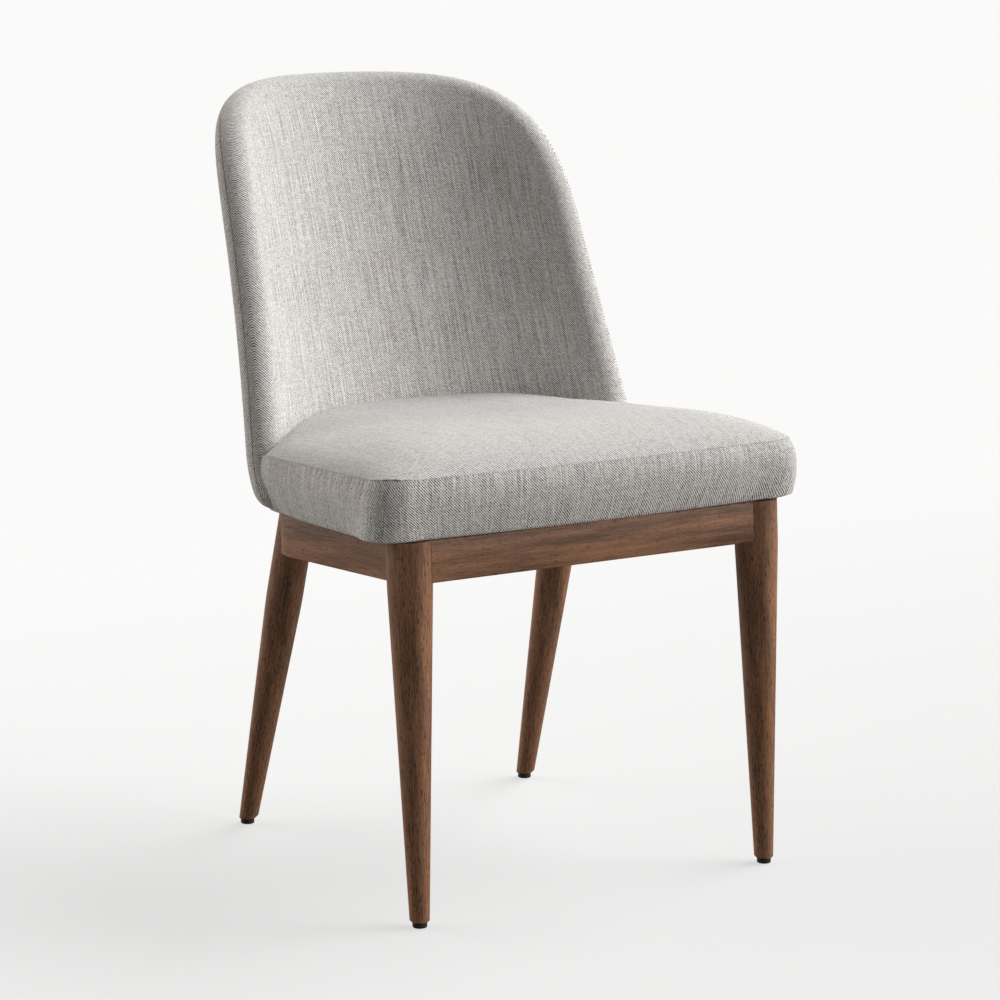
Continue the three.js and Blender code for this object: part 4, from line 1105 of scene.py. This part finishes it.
def plain_material(name, base, stain, scale, metallic, rough, relief):
    """Metal or moulded plastic with fine wear."""
    made, n = new_material(name)
    wear = n.group("Fine wear", wear_group, {
        "Place": n.object_place(), "Base": base, "Stain": stain, "Scale": scale})
    n.surface(
        Base_Color=wear["Color"], Metallic=metallic,
        Roughness=n.spread(wear["Cloud"], 0.3, 0.7, rough[0], rough[1]),
        Normal=n.add("ShaderNodeBump", {"Height": wear["Height"], "Distance": relief}))
    return made


def rgb(value):
    return (*value, 1.0)


# What a user may change

def length_setting(label, description, default, low, high):
    return FloatProperty(name=label, description=description, default=default, min=low, max=high,
                         unit="LENGTH")


def colour_setting(label, description, default):
    return FloatVectorProperty(name=label, description=description, default=default,
                               min=0, max=1, subtype="COLOR")


class ChairSizes(bpy.types.PropertyGroup):
    seam_depth: length_setting(
        "Seam depth", "How far the cloth rolls in at a seam", 0.0004, 0.0002, 0.005)
    shoulder_fall: length_setting(
        "Shoulder fall", "How far the seat's edge is rounded off at its seam", 0.0040, 0.0, 0.008)
    shoulder_reach: length_setting(
        "Shoulder reach", "How far from the seam the rounding starts", 0.026, 0.004, 0.04)
    corner_fullness: length_setting(
        "Corner fullness", "How far the seat's front corners swell low down", 0.016, 0.0, 0.02)
    crease_depth: length_setting(
        "Crease depth", "How far the seat sinks where it meets the back", 0.004, 0.0, 0.01)
    crease_width: length_setting(
        "Crease width", "How far from the back the seat starts to sink", 0.012, 0.002, 0.04)
    unevenness: length_setting(
        "Padding unevenness", "Height of the padding's soft unevenness", 0.0007, 0.0, 0.003)
    thread_pitch: length_setting(
        "Thread pitch", "Distance between the cover's threads", 0.00074, 0.0003, 0.003)
    thread_relief: length_setting(
        "Thread relief", "How far the threads stand out", 0.0003, 0.0, 0.002)
    rail_arris: length_setting(
        "Rail arris", "Radius of the rails' eased edges", 0.002, 0.0005, 0.006)


class ChairColours(bpy.types.PropertyGroup):
    cloth_light: colour_setting(
        "Light thread", "Colour of the cover's light threads", (0.96, 0.944, 0.922))
    cloth_dark: colour_setting(
        "Dark thread", "Colour of the cover's dark flecks", (0.085, 0.078, 0.07))
    wood_light: colour_setting(
        "Light grain", "Colour of the stained wood's light grain", (0.425, 0.200, 0.099))
    wood_dark: colour_setting(
        "Dark grain", "Colour of the stained wood's dark grain", (0.098, 0.043, 0.020))
    glide: colour_setting("Glides", "Colour of the glides under the feet", (0.010, 0.010, 0.011))
    # The floor's glow near the chair, where its darker tone is painted shade.
    floor: colour_setting("Floor", "Colour of the floor near the chair", (0.585, 0.585, 0.585))


# Pieces

def cover_cloth(name, contrast, slub=1.0, calm=0.0):
    sizes, colours = chair_sizes(), bpy.context.scene.chair_colours
    return cloth_material(
        name, sizes.thread_pitch, rgb(colours.cloth_light), rgb(colours.cloth_dark),
        0.44, slub, 0.45, sizes.thread_relief, contrast, calm)


def stained_wood(name, by_object):
    colours = bpy.context.scene.chair_colours
    return wood_material(name, rgb(colours.wood_light), rgb(colours.wood_dark), by_object)


class CHAIR_OT_back(bpy.types.Operator):
    """Build the padded back: its inside cover and its outside cover"""

    bl_idname = "chair.back"
    bl_label = "Padded Back"

    def execute(self, context):
        inside, outside = make_back_inside(), make_back_outside()
        for piece in (inside, outside):
            crisp_edges(piece, CLOTH_ANGLE)
        # The back's weave contrast lies between the seat top's and the boxing's: painted light,
        # set for its lit and shaded sides together.
        cloth = cover_cloth("back_cloth", 0.72, calm=0.055)
        finish_piece(inside, cloth, "cover_fabric", "inside_back_cover", "back_foam")
        finish_piece(outside, cloth, "cover_fabric", "outside_back_cover", "back_wadding")
        return {"FINISHED"}


class CHAIR_OT_seat(bpy.types.Operator):
    """Build the crowned seat pad and the boxing round it"""

    bl_idname = "chair.seat"
    bl_label = "Padded Seat"

    def execute(self, context):
        cutter = make_back_cutter()
        pad, band = make_seat_pad(cutter), make_seat_band(cutter)
        drop(cutter)
        # The top's weave gets less contrast and the boxing's more: painted light, for thread
        # relief that shows little on the lit top and much on the shaded boxing.
        top_cloth = cover_cloth("seat_top_cloth", 0.45, slub=0.4)
        band_cloth = cover_cloth("boxing_cloth", 0.95)
        finish_piece(pad, top_cloth, "cover_fabric", "seat_top_panel", "seat_foam")
        finish_piece(band, band_cloth, "cover_fabric", "seat_boxing")
        return {"FINISHED"}


class CHAIR_OT_dust_cover(bpy.types.Operator):
    """Build the black cloth under the deck"""

    bl_idname = "chair.dust_cover"
    bl_label = "Dust Cover"

    def execute(self, context):
        cutter = make_back_cutter()
        cover = make_dust_cover(cutter)
        drop(cutter)
        cloth = cloth_material("dust_cover_cloth", 0.0011, (0.040, 0.040, 0.042, 1),
                               (0.012, 0.012, 0.013, 1), 0.5, 0.3, 0.3, 0.0003, 0.8)
        finish_piece(cover, cloth, "dust_cloth", "dust_cloth")
        return {"FINISHED"}


class CHAIR_OT_legs(bpy.types.Operator):
    """Build the four tapered legs, scribed to the rails and cut level at the feet"""

    bl_idname = "chair.legs"
    bl_label = "Legs"

    def execute(self, context):
        wood = stained_wood("leg_wood", True)
        above = box_body("above_rails", (-0.4, -0.1, RAIL_HEIGHT - GAP), (0.4, 0.6, 0.3),
                         rail_frame_matrix())
        section = rounded_section(RAIL_THICKNESS / 2 + GAP, RAIL_HEIGHT / 2 + GAP, 0.0004, 2)
        for is_front, side, name in leg_places():
            leg = leg_body(f"{name}_leg_turned", is_front, side)
            form = foot_form(leg_axis(is_front, side)[1])
            combine(leg, form, "INTERSECT")
            rails = [] if is_front else [swept("rail_cutter", side_rail_path(side), section)]
            trimmed(leg, LEG_ANGLE, above, *rails)
            drop(form, *rails)
            finish_piece(leg, wood, "stained_wood", f"{name}_leg")
        drop(above)
        return {"FINISHED"}


class CHAIR_OT_rails(bpy.types.Operator):
    """Build the front rail, the two bent side rails and the rear rail"""

    bl_idname = "chair.rails"
    bl_label = "Rails"

    def execute(self, context):
        wood = stained_wood("rail_wood", False)
        half = RAIL_THICKNESS / 2
        section = rounded_section(half, RAIL_HEIGHT / 2, chair_sizes().rail_arris, 5)
        left, right = (leg_body(f"leg_cutter_{side}", True, side, GAP) for side in (-1, 1))
        end = REAR_RAIL_HALF_LENGTH - GAP / 2
        front_path = [(x, half) for x in np.linspace(-FRONT_LEG_X, FRONT_LEG_X, 24)]
        rear_path = [(x, FRAME_DEPTH - half) for x in np.linspace(-end, end, 16)]
        for node, path, cutters in (
                ("front_rail", front_path, (left, right)),
                ("rear_rail", rear_path, ()),
                ("left_side_rail", side_rail_path(-1), (left,)),
                ("right_side_rail", side_rail_path(1), (right,))):
            bar = trimmed(swept(f"{node}_bar", path, section), RAIL_ANGLE, *cutters)
            finish_piece(bar, wood, "stained_wood", node)
        drop(left, right)
        return {"FINISHED"}


class CHAIR_OT_glides(bpy.types.Operator):
    """Build the four black glides under the feet"""

    bl_idname = "chair.glides"
    bl_label = "Glides"

    def execute(self, context):
        shade = context.scene.chair_colours.glide
        plastic = plain_material(
            "glide_plastic", rgb(shade), rgb([c * 2.2 for c in shade]), *GLIDE_FINISH)
        r, h, edge = GLIDE_RADIUS, GLIDE_HEIGHT, GLIDE_EDGE
        profile = [(NAIL_HOLE_RADIUS, NAIL_HOLE_DEPTH), (NAIL_HOLE_RADIUS, 0.0), (r - edge, 0.0)]
        for turn in np.radians(np.linspace(-75, 0, 6)):
            profile.append((r - edge + edge * math.cos(turn), edge + edge * math.sin(turn)))
        profile += [(r, h - GLIDE_TOP_CHAMFER), (r - GLIDE_TOP_CHAMFER, h)]
        for is_front, side, name in leg_places():
            foot = leg_axis(is_front, side)[1]
            glide = turned(f"{name}_glide_button", profile, 64)
            glide.location = (foot.x, foot.y, 0)
            crisp_edges(glide, GLIDE_ANGLE)
            finish_piece(glide, plastic, "glide_plastic", f"{name}_glide")
        return {"FINISHED"}


class CHAIR_OT_inner_parts(bpy.types.Operator):
    """Finish the parts that the covers and rails hide"""

    bl_idname = "chair.inner_parts"
    bl_label = "Inner Parts"

    def execute(self, context):
        finishes = {
            "bare_wood": wood_material("plywood", (0.62, 0.44, 0.26, 1), (0.46, 0.30, 0.16, 1),
                                       True, 0.68, (0.6, 0.75), 0.0, 0),
            "steel": plain_material("zinc_steel", (0.46, 0.47, 0.48, 1), (0.30, 0.31, 0.32, 1),
                                    *METAL_FINISH),
            "brass": plain_material("brass", (0.62, 0.44, 0.17, 1), (0.40, 0.27, 0.10, 1),
                                    *METAL_FINISH),
        }
        slots = {row["node"]: row["material_slot"] for row in frame["record"]["subparts"]}
        for name, node in frame["nodes"].items():
            if not node.hide_render:
                node.data.materials.clear()
                node.data.materials.append(finishes[slots[name]])
        return {"FINISHED"}


class CHAIR_OT_stage(bpy.types.Operator):
    """Set up the floor, the light and the camera"""

    bl_idname = "chair.stage"
    bl_label = "Stage"

    def execute(self, context):
        scene = context.scene
        far = FLOOR_HALF_SIZE
        corners = [(-far, -far, 0), (far, -far, 0), (far, far, 0), (-far, far, 0)]
        floor = new_piece("floor", corners, [(0, 1, 2, 3)])
        floor.location.z = -FLOOR_DROP
        floor.data.materials.append(self.floor_material(scene))
        self.light_room(scene)
        self.place_camera(scene)
        scene.view_settings.view_transform = "Standard"
        return {"FINISHED"}

    def floor_material(self, scene):
        """A floor that shows the camera a pale glow, darker near the chair and in front as painted
        shade, and throws back less light.
        """
        made, n = new_material("pale_floor")
        place = n.object_place()
        distance = n.add("ShaderNodeVectorMath", {0: place}, operation="LENGTH").outputs["Value"]
        # The glow is darker near the chair and in front, lighter to the rear and far off: painted
        # shade.
        share = n.math("MAXIMUM", n.spread(n.separate(place)[1], -0.4, 1.4),
                       n.spread(distance, 2.5, 9.0))
        shown = n.mix(share, rgb(scene.chair_colours.floor), (0.68, 0.68, 0.68, 1))
        shown = n.mix(n.times(n.noise(place, 1.3, 2.0), 0.03), shown, (0.5, 0.5, 0.5, 1))
        glow = n.add("ShaderNodeEmission", {"Color": shown, "Strength": 1.0})
        lit = n.add("ShaderNodeBsdfDiffuse", {"Color": (0.26, 0.26, 0.26, 1)})
        n.add("ShaderNodeOutputMaterial", {0: n.add("ShaderNodeMixShader", {
            0: n.add("ShaderNodeLightPath").outputs["Is Camera Ray"],
            1: n.add("ShaderNodeBsdfDiffuse", {"Color": (0.28, 0.275, 0.265, 1)}),
            2: n.add("ShaderNodeAddShader", {0: glow, 1: lit}),
        })})
        return made

    def light_room(self, scene):
        world = bpy.data.worlds.new("studio")
        world.use_nodes = True
        scene.world = world
        n = Nodes(world.node_tree)
        ray = n.add("ShaderNodeLightPath").outputs
        way = n.add("ShaderNodeTexCoord").outputs["Generated"]
        facing = n.add("ShaderNodeVectorMath", {0: way, 1: DARK_WALL_WAY},
                       operation="DOT_PRODUCT").outputs["Value"]
        mirrored = n.math("MAXIMUM", ray["Is Glossy Ray"], ray["Is Transmission Ray"])
        strength = n.times(n.spread(facing, -0.1, 0.75, 0.8, 0.05), mirrored)
        strength = n.math("MAXIMUM", strength, WORLD_LEVEL)
        strength = n.math("MAXIMUM", strength, n.times(ray["Is Camera Ray"], BACKDROP_LEVEL))
        n.add("ShaderNodeOutputWorld", {0: n.add("ShaderNodeBackground", {
            "Color": (1, 1, 1, 1), "Strength": strength})})
        for name, azimuth, height, level, warmth in STUDIO_LAMPS:
            lamp = bpy.data.lights.new(name, "SUN")
            lamp.energy = level * math.pi
            lamp.color = (1.0, warmth, warmth ** 2)
            lamp.angle = LAMP_WIDTH
            holder = bpy.data.objects.new(name, lamp)
            scene.collection.objects.link(holder)
            turn, rise = math.radians(azimuth), math.radians(height)
            flat = math.cos(rise)
            way = Vector((math.sin(turn) * flat, math.cos(turn) * flat, math.sin(rise)))
            holder.rotation_euler = way.to_track_quat("Z", "Y").to_euler()

    def place_camera(self, scene):
        data = bpy.data.cameras.new("camera")
        data.sensor_width = 36.0
        data.lens = CAMERA_LENS
        data.clip_end = 200
        camera = bpy.data.objects.new("camera", data)
        scene.collection.objects.link(camera)
        camera.location = CAMERA_PLACE
        camera.rotation_euler = (math.pi / 2 - CAMERA_TILT, 0, -CAMERA_TURN)
        scene.camera = camera


class CHAIR_PT_panel(bpy.types.Panel):
    """Lists the chair's steps, sizes and colours"""

    bl_label = "Dining Chair"
    bl_idname = "CHAIR_PT_panel"
    bl_space_type = "VIEW_3D"
    bl_region_type = "UI"
    bl_category = "Chair"

    def draw(self, context):
        column = self.layout.column()
        for step in STEPS:
            column.operator(step.bl_idname)
        for group in (context.scene.chair_sizes, context.scene.chair_colours):
            for name in group.bl_rna.properties.keys():
                if name not in ("rna_type", "name"):
                    column.prop(group, name)


STEPS = (
    CHAIR_OT_stage, CHAIR_OT_back, CHAIR_OT_seat, CHAIR_OT_dust_cover, CHAIR_OT_legs,
    CHAIR_OT_rails, CHAIR_OT_glides, CHAIR_OT_inner_parts,
)
CLASSES = (ChairSizes, ChairColours, *STEPS, CHAIR_PT_panel)


def register():
    for item in CLASSES:
        bpy.utils.register_class(item)
    bpy.types.Scene.chair_sizes = PointerProperty(type=ChairSizes)
    bpy.types.Scene.chair_colours = PointerProperty(type=ChairColours)


def unregister():
    del bpy.types.Scene.chair_colours
    del bpy.types.Scene.chair_sizes
    for item in reversed(CLASSES):
        bpy.utils.unregister_class(item)


def main():
    register()
    for step in STEPS:
        space, action = step.bl_idname.split(".")
        getattr(getattr(bpy.ops, space), action)()


if __name__ == "__main__":
    main()
